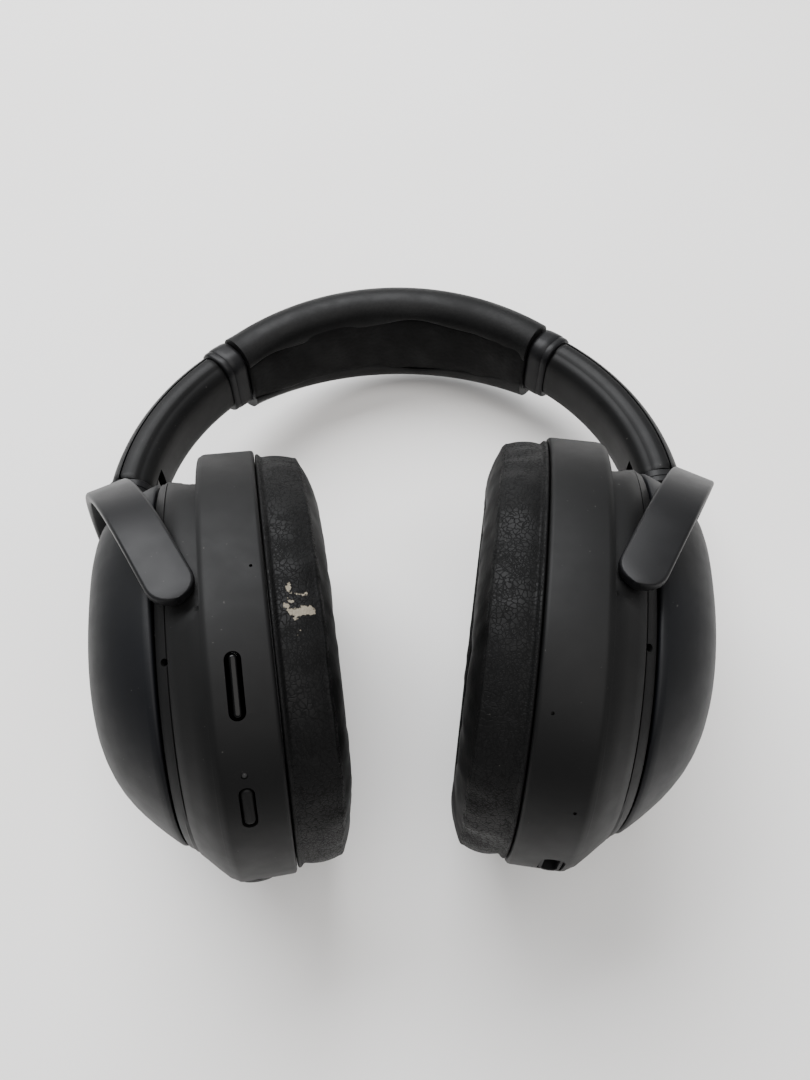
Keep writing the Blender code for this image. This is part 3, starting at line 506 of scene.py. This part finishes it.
def taper(depth):
    return TAPER_INSET * max(depth - RIM_DEPTH, 0.0) / (HOUSING_DEPTH - RIM_DEPTH)


def top_inset(height):
    """How much further in the shoulder steps toward the top of the cup, under the yoke."""
    return TOP_RECESS * smooth_step(22.0, 44.0, height)


def shoulder_inset(height):
    """How far the shoulder stands inside the rim; it ends below the pivots."""
    return RECESS * smooth_step(-12.0, -11.2, height) + top_inset(height)


def cup_ring(depth, inset, rise=0.0, stepped=False):
    """A ring of the cup; a stepped ring is cut back where the yoke lies against the upper half."""
    ring = []
    for angle in ANGLES:
        point = oval(angle, depth, inset, rise)
        if stepped:
            deep = shoulder_inset(point.y)
            if deep > inset:
                point = oval(angle, depth, deep, rise)
        ring.append(point)
    return ring


def inner_ring(depth, wall):
    """The inside of the wall behind the stepped shoulder."""
    ring = []
    for angle in ANGLES:
        point = oval(angle, depth, 0.0)
        deep = RECESS + top_inset(point.y)
        ring.append(oval(angle, depth, max(deep, taper(depth)) + wall))
    return ring


def make_housing(word):
    """The rim, the stepped shoulder behind it and the groove before the outer plate, with a hollow inside."""
    rim = [(0.0, 2.4), (0.0, 0.8), (0.12, 0.35), (0.4, 0.08), (0.9, 0.0), (6.0, 0.0), (11.4, 0.0),
           (12.1, 0.12), (12.55, 0.45)]
    rings = [cup_ring(depth, inset) for depth, inset in rim]
    for depth in (12.9, 13.0, 13.15, 14.0, 16.0, 18.0, 19.6):
        inset = taper(depth) + 0.25 if depth < 14 else taper(depth)
        share = smooth_step(RIM_DEPTH, HOUSING_DEPTH, depth)
        rings.append(cup_ring(depth, inset, HOUSING_RISE * share, stepped=depth > 12.95))
    late = [(19.75, 0.0), (19.8, 0.45), (20.0, 0.45), (20.05, 0.12), (21.9, 0.12), (22.15, 0.4), (22.2, 1.6)]
    for depth, extra in late:
        rings.append(cup_ring(depth, taper(min(depth, HOUSING_DEPTH)) + extra, HOUSING_RISE, stepped=True))
    rings += [inner_ring(20.5, 2.2), inner_ring(13.6, 2.2), inner_ring(11.2, 2.0), cup_ring(9.8, 2.4)]
    return make_piece(f"cup_housing_shell_{word}", loft(rings, closed=True), CUPS[word], PLASTIC,
                      f"cup_{word}", [f"cup_housing_{word}"], sharp=40)


def rim_place(drop, depth):
    """A point of the rim's rear, with the directions along it and out of it."""
    rear = HALF_WIDTH * (1 - (drop / HALF_HEIGHT) ** OVAL_POWER) ** (1 / OVAL_POWER)
    outward = Vector((0.0, -(drop / HALF_HEIGHT) ** (OVAL_POWER - 1) / HALF_HEIGHT,
                      (rear / HALF_WIDTH) ** (OVAL_POWER - 1) / HALF_WIDTH)).normalized()
    along = Vector((0.0, outward.z, -outward.y))
    return axes_matrix(Vector((1.0, 0.0, 0.0)), along, outward, Vector((depth, -drop, rear)))


def bar(half_x, half_y, low, high, corner, round_over=0.0, steps=6):
    """An upright bar with rounded ends; its top edge can be rounded over."""
    levels = [(low, 0.0), (high - round_over, 0.0)]
    if round_over:
        for i in range(1, 5):
            a = math.radians(90 * i / 4)
            levels.append((high - round_over * (1 - math.sin(a)), round_over * (1 - math.cos(a))))
    rings = []
    for z, inset in levels:
        outline = rounded_box(half_x - inset, half_y - inset, max(corner - inset, 0.05), steps)
        rings.append([Vector((x, y, z)) for x, y in outline])
    return loft(rings)


def metres(matrix):
    """Turns a matrix whose offset is in millimetres into one in metres."""
    scaled = matrix.copy()
    scaled.translation = matrix.translation * MM
    return scaled


def circle(radius, z, sides):
    turns = [2 * math.pi * i / sides for i in range(sides)]
    return [Vector((radius * math.cos(a), radius * math.sin(a), z)) for a in turns]


def rod(radius, low, high, sides=28):
    return loft([circle(radius, z, sides) for z in (low, high)])


def make_left_controls(housing):
    cup = CUPS["left"]
    specs = (("mode_button", 12.2, 2.6, 26.9, GLOSS, "gloss_plastic"),
             ("power_button", 8.6, 2.4, 44.6, PLASTIC, "soft_touch_plastic"))
    cutters = []
    for name, length, width, drop, material, slot in specs:
        place = cup @ metres(rim_place(drop, CONTROL_DEPTH))
        hole = bar(width / 2 + 0.3, length / 2 + 0.3, -3.2, 2.0, width / 2 + 0.25)
        cutters.append(make_cutter(hole, place))
        narrow = width / 2 - (0.45 if name == "mode_button" else 0.0)
        cap = bar(narrow, length / 2 - 0.2, -3.0, -0.25, narrow - 0.05, round_over=0.6)
        make_piece(f"{name}_cap", cap, place, material, name, [name], sharp=60)
    light = cup @ metres(rim_place(LIGHT_DROP, CONTROL_DEPTH))
    cutters.append(make_cutter(rod(0.65, -3.0, 2.0, 20), light))
    domed = ((0.6, -3.0), (0.6, -0.35), (0.45, -0.2), (0.2, -0.13))
    lens = loft([circle(radius, z, 20) for radius, z in domed])
    make_piece("status_light_lens", lens, light, LIGHT_PIPE, "cup_left", ["status_light_pipe"],
               sharp=60)
    dot = cup @ metres(rim_place(4.0, 2.6))
    cutters.append(make_cutter(rod(0.35, -0.8, 2.0, 16), dot))
    cutters.append(foot_cutter("left", JACK_FORWARD, rod(3.7, -16.0, 4.0, 40)))
    cutters.append(microphone_cutter("left"))
    cutters.append(shoulder_cutter("left"))
    drill(housing, cutters)


def foot_cutter(word, forward, bm):
    """A hole up into the rim's foot."""
    drop = HALF_HEIGHT * (1 - (forward / HALF_WIDTH) ** OVAL_POWER) ** (1 / OVAL_POWER)
    spot = Vector((SOCKET_DEPTH, -drop, -forward))
    place = axes_matrix(Vector((1, 0, 0)), Vector((0, 0, 1)), Vector((0, -1, 0)), spot)
    return make_cutter(bm, CUPS[word] @ metres(place))


def shoulder_cutter(word):
    """The small slot in the stepped shoulder beside the rim."""
    depth = 15.6
    height = oval(math.radians(52), depth, RECESS).y
    spot = oval(math.radians(52), depth, shoulder_inset(height))
    ahead = oval(math.radians(54), depth, shoulder_inset(height))
    along = (ahead - spot).normalized()
    out = along.cross(Vector((1.0, 0.0, 0.0))).normalized()
    out = out if out.dot(spot) > 0 else -out
    place = axes_matrix(out.cross(along) * -1, along, out, spot)
    return make_cutter(bar(1.2, 2.9, -1.5, 4.0, 0.6), CUPS[word] @ metres(place))


def microphone_cutter(word):
    """The round hole in the tapered wall, at about half the cup's height."""
    depth = 20.8
    spot = oval(math.radians(112), depth, taper(depth))
    outward = Vector((0.5, spot.y / HALF_HEIGHT, spot.z / HALF_WIDTH)).normalized()
    side = outward.orthogonal().normalized()
    place = axes_matrix(side, outward.cross(side), outward, spot)
    return make_cutter(rod(0.8, -7.0, 3.0, 20), CUPS[word] @ metres(place))


def make_right_holes(housing):
    port = bar(2.5, 5.4, -9.0, 4.0, 2.2)
    cutters = [foot_cutter("right", CHARGING_FORWARD, port), microphone_cutter("right"), shoulder_cutter("right")]
    for drop, depth in ((34.0, 3.0), (46.4, 9.6)):
        cutters.append(make_cutter(rod(0.35, -0.8, 2.0, 16), CUPS["right"] @ metres(rim_place(drop, depth))))
    drill(housing, cutters)


def make_outer_plate(word):
    """The domed cap; each ring has its share of the plate's depth and its inset from the rim."""
    skin = [(0.025, 8.8), (0.025, 6.9), (0.04, 6.6), (0.07, 6.5), (0.14, 7.0), (0.26, 8.05), (0.38, 9.3),
            (0.50, 10.7), (0.60, 12.2), (0.69, 13.9), (0.76, 15.7), (0.82, 17.8), (0.87, 20.2), (0.91, 23.0),
            (0.945, 26.5), (0.97, 30.0), (0.988, 34.0), (0.997, 38.0), (1.0, 40.5)]
    rings = []
    for share, inset in skin:
        depth = HOUSING_DEPTH + share * PLATE_DEPTH
        rings.append(cup_ring(depth, inset, HOUSING_RISE + share * (PLATE_RISE - HOUSING_RISE)))
    make_piece(f"outer_plate_shell_{word}", loft(rings), CUPS[word], PLATE_PLASTIC, f"cup_{word}",
               [f"outer_plate_{word}"], sharp=50)


def cushion_wrinkle(point, normal_share, word):
    """How far the soft skin stands out of its smooth shape at a point, in millimetres."""
    seed = Vector((11.0, 3.0, 7.0)) if word == "left" else Vector((2.0, 19.0, 5.0))
    swell = noise.noise(point * 0.055 + seed) * 0.55
    pleats = noise.noise(Vector((point.x * 0.10, point.y * 0.42, point.z * 0.42)) + seed * 2)
    crease = -abs(noise.noise(Vector((point.x * 0.06, point.y * 0.25, point.z * 0.25)) + seed * 3))
    return (swell + pleats * 0.28 + max(crease + 0.12, -0.3) * 0.9) * normal_share


def make_ear_cushion(word):
    """A padded ring round the ear space, folded in along the housing and stitched at its inner edge."""
    profile = [(-0.1, 4.0), (-0.1, 1.3), (-0.45, 0.85), (-1.0, 0.95), (-1.4, 1.5), (-1.75, 1.75), (-2.3, 1.6),
               (-3.4, 1.45), (-5.0, 1.4), (-7.0, 1.6), (-8.6, 2.0), (-9.5, 2.35), (-9.9, 2.3), (-10.3, 2.65),
               (-10.7, 3.5), (-11.5, 5.0), (-12.4, 7.2), (-13.0, 9.8), (-13.2, 12.0), (-13.0, 13.9),
               (-12.65, 15.2), (-12.75, 16.0), (-12.4, 16.8), (-11.6, 17.8), (-10.2, 19.0), (-8.2, 20.0),
               (-5.8, 20.45), (-3.0, 20.5), (-0.4, 20.5), (-0.4, 12.0)]
    rings = []
    for index, (depth, inset) in enumerate(profile):
        soft = 1.0 - smooth_step(-5.0, -1.8, depth)
        ring = []
        for angle in ANGLES:
            point = oval(angle, depth, inset)
            lower = profile[max(index - 1, 0)]
            upper = profile[min(index + 1, len(profile) - 1)]
            run = Vector((upper[0] - lower[0], upper[1] - lower[1])).normalized()
            push = cushion_wrinkle(point, soft, word)
            ring.append(oval(angle, depth + run.y * -push, inset + run.x * push))
        rings.append(ring)
    cushion = make_piece(f"ear_cushion_pad_{word}", loft(rings, closed=True), CUPS[word], EAR_LEATHER[word],
                         f"cup_{word}", [f"ear_cushion_{word}"], sharp=180, subdivide=1)
    smooth_and_shade_the_face(cushion, word)


def smooth_and_shade_the_face(cushion, word):
    """The side against the head has smoother leather than the worn outer wall, with a slightly darker tone that is
    painted shade, as that face turns towards the other cup.
    """
    cushion.data.materials.append(SHADED_FACE_LEATHER)
    inward = CUPS[word].inverted()
    for face in cushion.data.polygons:
        place = (inward @ face.center) / MM
        up = abs(place.y) / (HALF_HEIGHT - CUSHION_FACE_INSET)
        rear = abs(place.z) / (HALF_WIDTH - CUSHION_FACE_INSET)
        if place.x < -2.0 and up ** OVAL_POWER + rear ** OVAL_POWER < 1.0:
            face.material_index = 1


def make_piping(word):
    """The stitched cord round the ear space."""
    seam = []
    turns = [2 * math.pi * k / 8 for k in range(8)]
    for angle in ANGLES:
        centre = oval(angle, PIPING_DEPTH, PIPING_INSET)
        out = (oval(angle, 0, PIPING_INSET - 1.0) - oval(angle, 0, PIPING_INSET)).normalized()
        seam.append([centre + Vector((math.cos(t) * 0.28, 0, 0)) + out * math.sin(t) * 0.34 for t in turns])
    make_piece(f"ear_cushion_piping_{word}", loft(seam, closed=True), CUPS[word], EAR_LEATHER[word],
               f"cup_{word}", (), sharp=180)


for each in SIDES:
    shell = make_housing(each)
    if each == "left":
        make_left_controls(shell)
    else:
        make_right_holes(shell)
    make_outer_plate(each)
    make_ear_cushion(each)
    make_piping(each)


# ------------------------------------------------------------------ headband


def band_half_width(angle):
    return BAND_HALF_WIDTH - BAND_NARROWING * min(abs(angle) / PAD_ANGLE, 1.0) ** 2


def pad_end(side):
    """Where the padding ends; it sits a little round to the left, as the sliders are set unevenly."""
    return PAD_ANGLE - side * PAD_TURN


def cut_corners(points, share):
    """Replaces each corner of a closed outline by two points, a share of the way along its edges."""
    finer = []
    for (ax, ay), (bx, by) in zip(points, points[1:] + points[:1]):
        for a, b in ((1 - share, share), (share, 1 - share)):
            finer.append((ax * a + bx * b, ay * a + by * b))
    return finer


def closed_profile(points):
    """Smooths a coarse outline into a finer one by cutting its corners twice."""
    return cut_corners(cut_corners(points, 0.25), 0.25)


def band_piece(name, section, material, node, sharp, ripple=None):
    """A piece drawn along the headband's arc between the two collars."""
    start = -pad_end(-1)
    end = pad_end(1)
    steps = 90
    rings = []
    for i in range(steps + 1):
        angle = start + (end - start) * i / steps
        ring = []
        for radius, rear in section(angle):
            point = band_point(angle, radius, rear)
            if ripple is not None:
                point = band_point(angle, radius + ripple(point, radius), rear)
            ring.append(point)
        rings.append(ring)
    return make_piece(name, loft(rings), ROOT, material, "headband", [node], sharp)


def cover_section(angle):
    """The outer skin wraps the rounded rear and front edges and ends in a soft wavy fold over the pad."""
    half = band_half_width(angle)
    top = BAND_RADIUS
    waves = 0.9 * math.sin(math.radians(angle * 7 + 20)) + 0.5 * math.sin(math.radians(angle * 17))
    fold = half - 6.4 + waves
    rear = [(top + 0.15, 0.0), (top - 0.4, half - 4.4), (top - 2.2, half - 0.8), (top - 6.4, half + 0.45),
            (top - 10.4, half - 0.5), (top - 12.8, half - 3.2), (top - 13.35, fold), (top - 12.5, fold - 0.3),
            (top - 11.4, half - 4.2), (top - 8.0, half - 2.6), (top - 2.8, half - 3.4)]
    front = [(radius, -place) for radius, place in reversed(rear[1:])]
    return closed_profile(rear + front)


def pad_section(angle):
    """The foam pad under the skin, with broad rounded edges and fuller at the crown than at its ends."""
    half = band_half_width(angle)
    full = 1.0 - 0.5 * (abs(angle) / PAD_ANGLE) ** 4
    low = BAND_RADIUS - 12.7 - 0.8 * full
    high = BAND_RADIUS - 9.6
    rear = [(low, half - 9.4), (low + 0.1, half - 7.4), (low + 0.5, half - 5.6), (high - 1.4, half - 4.2),
            (high, half - 4.4), (high + 0.6, half - 7.0)]
    front = [(radius, -place) for radius, place in reversed(rear)]
    return closed_profile(front[1:] + [(low, 0.0)] + rear + front[:1])


def pad_ripple(point, radius):
    soft = smooth_step(BAND_RADIUS - 8.2, BAND_RADIUS - 10.5, radius)
    long = noise.noise(point * 0.07 + Vector((4.0, 9.0, 1.0)))
    short = noise.noise(Vector((point.x * 0.16, point.y * 0.16, point.z * 0.05)) + Vector((1.0, 2.0, 8.0)))
    return (long * 0.7 + short * 0.7) * soft


def make_headband():
    band_piece("headband_skin", cover_section, BAND_SKIN, "headband_cover", 60)
    pad = band_piece("headband_pad", pad_section, BAND_PAD, "headband_cushion", 180, pad_ripple)


def ring_outline(inner, outer, half, corner, steps=6):
    middle = (inner + outer) / 2
    return [(middle + x, y) for x, y in rounded_box((outer - inner) / 2, half, corner, steps)]


def make_collar(word):
    """The end ring of the headband: a raised band, a fine crease and a narrower lip towards the arm."""
    inner = BAND_RADIUS - ARM_THICKNESS
    outer = BAND_RADIUS
    levels = [(41.25, -0.4), (41.33, 0.05), (41.6, 0.3), (42.3, 0.45), (44.0, 0.5), (45.4, 0.45),
              (45.6, 0.25), (45.75, 0.3), (46.7, 0.3), (47.1, 0.1), (47.28, -0.2), (47.3, -0.7)]
    rings = []
    for angle, grow in levels:
        outline = ring_outline(inner - grow, outer + grow, 10.1 + grow, 4.4 + grow)
        outline = [(radius, rear if rear > 0 else rear * 0.86) for radius, rear in outline]
        turned = angle - SIDES[word] * PAD_TURN
        rings.append([band_point(turned, radius, rear) for radius, rear in outline])
    make_piece(f"headband_collar_ring_{word}", loft(rings), side_root(word), SATIN, "headband",
               [f"headband_collar_{word}"], sharp=40)


# ------------------------------------------------------------------ arms


def arm_outline(outside):
    """Half of the arm's section: a thin cap outside, or the fuller body inside with its flat step."""
    top = BAND_RADIUS
    low = top - ARM_THICKNESS
    half = ARM_HALF_WIDTH
    front = 0.8 * half
    if outside:
        split = top - 3.5
        rear_side = [(split, half - 2.0), (split, half - 0.05), (split + 0.3, half), (top - 1.9, half - 1.0),
                     (top - 0.8, half - 2.8), (top - 0.1, half - 5.4)]
        front_side = [(radius, -place * front / half) for radius, place in rear_side]
        return cut_corners([(top + 0.1, 0.0)] + front_side[::-1] + rear_side, 0.2)
    split = top - 3.8
    rear_side = [(split, half - 2.0), (split, half - 0.05), (split - 0.4, half + 0.15),
                 (split - 2.2, half + 0.4), (split - 4.0, half - 0.1), (split - 4.9, half - 0.9),
                 (split - 5.5, half - 1.2), (low + 1.6, half - 1.8), (low + 0.5, half - 3.4),
                 (low, half - 5.6)]
    front_side = [(radius, -place * front / half) for radius, place in rear_side]
    return cut_corners(rear_side + front_side[::-1], 0.2)


def arm_rings(outside, start, end, steps):
    """The arm's sections along its arc, drawn in a little at both ends."""
    rings = []
    for i in range(steps + 1):
        share = i / steps
        angle = start + (end - start) * share
        pinch = 0.0
        for edge in (share * (end - start), (1 - share) * (end - start)):
            pinch = max(pinch, 0.5 * (1 - min(edge / 0.7, 1.0)) ** 2)
        middle = BAND_RADIUS - (1.8 if outside else 7.8)
        ring = []
        for radius, rear in arm_outline(outside):
            radius += (middle - radius) * pinch * 0.12
            ring.append(band_point(angle, radius, rear * (1 - pinch * 0.08)))
        rings.append(ring)
    return rings


def make_arm(word):
    """The two covers of the arm, with the parting line between them and a notch over the fold hinge."""
    matrix = side_root(word)
    start = pad_end(SIDES[word]) + ARM_START
    notch = matrix @ Matrix.Translation(Vector((FOLD_PIN_OUT, FOLD_PIN_HEIGHT - 0.6, 0.0)) * MM)
    for layer in ("outer", "inner"):
        bm = loft(arm_rings(layer == "outer", start, 90.0, 60))
        shell = make_piece(f"arm_{layer}_shell_{word}", bm, matrix, ARM_PLASTIC, f"arm_{word}",
                           [f"arm_{layer}_cover_{word}"], sharp=28)
        box = loft([[Vector((x, y, z)) for x, y in rounded_box(7.0, 4.6, 1.2, 4)] for z in (-4.4, 4.4)])
        drill(shell, [make_cutter(box, notch)])


def make_knuckle(word):
    """The grey ring under the arm, with a fine groove round it."""
    rings = []
    levels = ((-2.1, -0.6), (-2.0, -0.15), (-1.8, 0.0), (-0.3, 0.0), (-0.22, -0.22), (-0.05, -0.22),
              (0.02, 0.0), (1.8, 0.0), (2.0, -0.15), (2.1, -0.6))
    for height, grow in levels:
        ring = []
        for i in range(72):
            a = 2 * math.pi * i / 72
            x = (6.5 + grow) * signed_power(math.cos(a), 0.7)
            z = (10.2 + grow) * signed_power(math.sin(a), 0.7)
            ring.append(Vector((KNUCKLE_OUT + x, KNUCKLE_HEIGHT + height, z)))
        rings.append(ring)
    make_piece(f"hinge_ring_{word}", loft(rings), side_root(word), SATIN, f"knuckle_{word}",
               [f"hinge_knuckle_{word}"], sharp=35)


def make_tongue(word):
    """The knuckle's rounded tongue, which takes the fold pin."""
    outline = []
    for i in range(13):
        a = math.radians(180 * i / 12)
        up = FOLD_PIN_HEIGHT + TONGUE_RADIUS * math.sin(a)
        outline.append((FOLD_PIN_OUT + TONGUE_RADIUS * math.cos(a), up))
    foot = FOLD_PIN_HEIGHT - 4.0
    outline += [(FOLD_PIN_OUT - TONGUE_RADIUS, foot), (FOLD_PIN_OUT + TONGUE_RADIUS, foot)]
    middle = FOLD_PIN_HEIGHT - 2.0
    rings = []
    for z, inset in ((-4.0, 0.25), (-3.75, 0.0), (3.75, 0.0), (4.0, 0.25)):
        narrow = 1 - inset / TONGUE_RADIUS
        lower = 1 - inset / 4.0
        rings.append([Vector((FOLD_PIN_OUT + (x - FOLD_PIN_OUT) * narrow, middle + (y - middle) * lower, z))
                      for x, y in outline])
    make_piece(f"hinge_tongue_{word}", loft(rings), side_root(word), SATIN, f"knuckle_{word}", (),
               sharp=35)


# ------------------------------------------------------------------ yokes


def yoke_path():
    """(height above the pivots, rear, half width) along the hoop, from the rear leg's end to the front's."""
    middle = HALF_WIDTH - RECESS + YOKE_CLEARANCE + YOKE_HALF_THICKNESS
    end = YOKE_HALF
    points = []
    for turn in (86, 75, 60, 45, 30, 15, 0):
        a = math.radians(turn)
        points.append((-end * math.sin(a), middle, max(end * math.cos(a), 0.5)))
    for i in range(73):
        a = math.pi * i / 72
        points.append((YOKE_LEG + YOKE_RISE * math.sin(a), middle * math.cos(a), end))
    for along, rear, half in reversed(points[:7]):
        points.append((along, -rear, half))
    return points


def make_yoke(word):
    """The leaning hoop round the cup's top, and the short neck that takes the swivel pin."""
    matrix = SWIVELS[word]
    turn = math.radians(YOKE_LEAN + CUP_TOE)
    up = Vector((math.sin(turn), math.cos(turn), 0.0))
    across = Vector((up.y, -up.x, 0.0))
    rear_way = Vector((0.0, 0.0, 1.0))
    tilt_at = Vector(JOINTS[f"tilt_{word}"]["pos_m"])
    start = (matrix.inverted() @ tilt_at) / MM
    path = yoke_path()
    rings = []
    for i, (along, rear, half) in enumerate(path):
        before = path[max(i - 1, 0)]
        after = path[min(i + 1, len(path) - 1)]
        run = Vector((after[0] - before[0], after[1] - before[1])).normalized()
        out = up * -run.y + rear_way * run.x
        middle = start + up * along + rear_way * rear
        ring = []
        for x, y in rounded_box(YOKE_HALF_THICKNESS, half, min(0.7, half * 0.9), 4):
            ring.append(middle + out * (x - 0.12 * (y / YOKE_HALF) ** 2) + across * y)
        rings.append(ring)
    make_piece(f"yoke_hoop_{word}", loft(rings), matrix, SATIN, f"yoke_{word}", [f"yoke_{word}"],
               sharp=50)
    neck = bar(3.9, 6.5, -3.3, -0.5, 2.4, round_over=0.4)
    place = matrix @ Matrix(((1, 0, 0, 0), (0, 0, 1, 0), (0, 1, 0, 0), (0, 0, 0, 1)))
    make_piece(f"yoke_neck_{word}", neck, place, SATIN, f"yoke_{word}", (), sharp=50)


make_headband()
for each in SIDES:
    make_collar(each)
    make_arm(each)
    make_knuckle(each)
    make_tongue(each)
    make_yoke(each)


# ------------------------------------------------------------------ table, light and camera


def make_table():
    bm = bmesh.new()
    bmesh.ops.create_grid(bm, x_segments=2, y_segments=2, size=1.6)
    mesh = bpy.data.meshes.new("table_top")
    bm.to_mesh(mesh)
    bm.free()
    table = bpy.data.objects.new("table_top", mesh)
    bpy.context.scene.collection.objects.link(table)
    mesh.materials.append(paper_table("pale_table"))


def make_light(name, at, towards, size, power, colour):
    lamp = bpy.data.lights.new(name, "AREA")
    lamp.shape = "RECTANGLE"
    lamp.size, lamp.size_y = size
    lamp.energy = power
    lamp.color = colour
    light = bpy.data.objects.new(name, lamp)
    light.location = at
    light.rotation_euler = (Vector(towards) - Vector(at)).to_track_quat("-Z", "Y").to_euler()
    bpy.context.scene.collection.objects.link(light)


def make_camera():
    """Seen from above the cups' feet, looking down on the rear edge."""
    right = Vector((0.99977873, -0.02057017, -0.00439909))
    up = Vector((0.01910388, 0.80036768, 0.59920498))
    back = Vector((-0.00880485, -0.59915644, 0.80058356))
    spot = Vector((0.16, -93.78, 165.61)) * MM
    lens = bpy.data.cameras.new("camera")
    lens.sensor_width = 36.0
    lens.lens = 26.4
    lens.clip_start = 0.01
    camera = bpy.data.objects.new("camera", lens)
    camera.matrix_world = ROOT @ axes_matrix(right, up, back, spot)
    bpy.context.scene.collection.objects.link(camera)
    bpy.context.scene.camera = camera


def make_world():
    world = bpy.data.worlds.new("soft_room")
    world.use_nodes = True
    background = world.node_tree.nodes["Background"]
    background.inputs["Color"].default_value = (0.95, 0.97, 1.0, 1.0)
    background.inputs["Strength"].default_value = 0.38
    bpy.context.scene.world = world


make_table()
make_light("window", (-0.25, 0.75, 1.0), (0.0, 0.0, 0.03), (1.1, 0.8), 34.0, (0.97, 0.98, 1.0))
make_light("ceiling", (0.35, -0.25, 1.3), (0.0, 0.0, 0.03), (1.2, 1.2), 13.0, (1.0, 0.97, 0.95))
make_camera()
make_world()
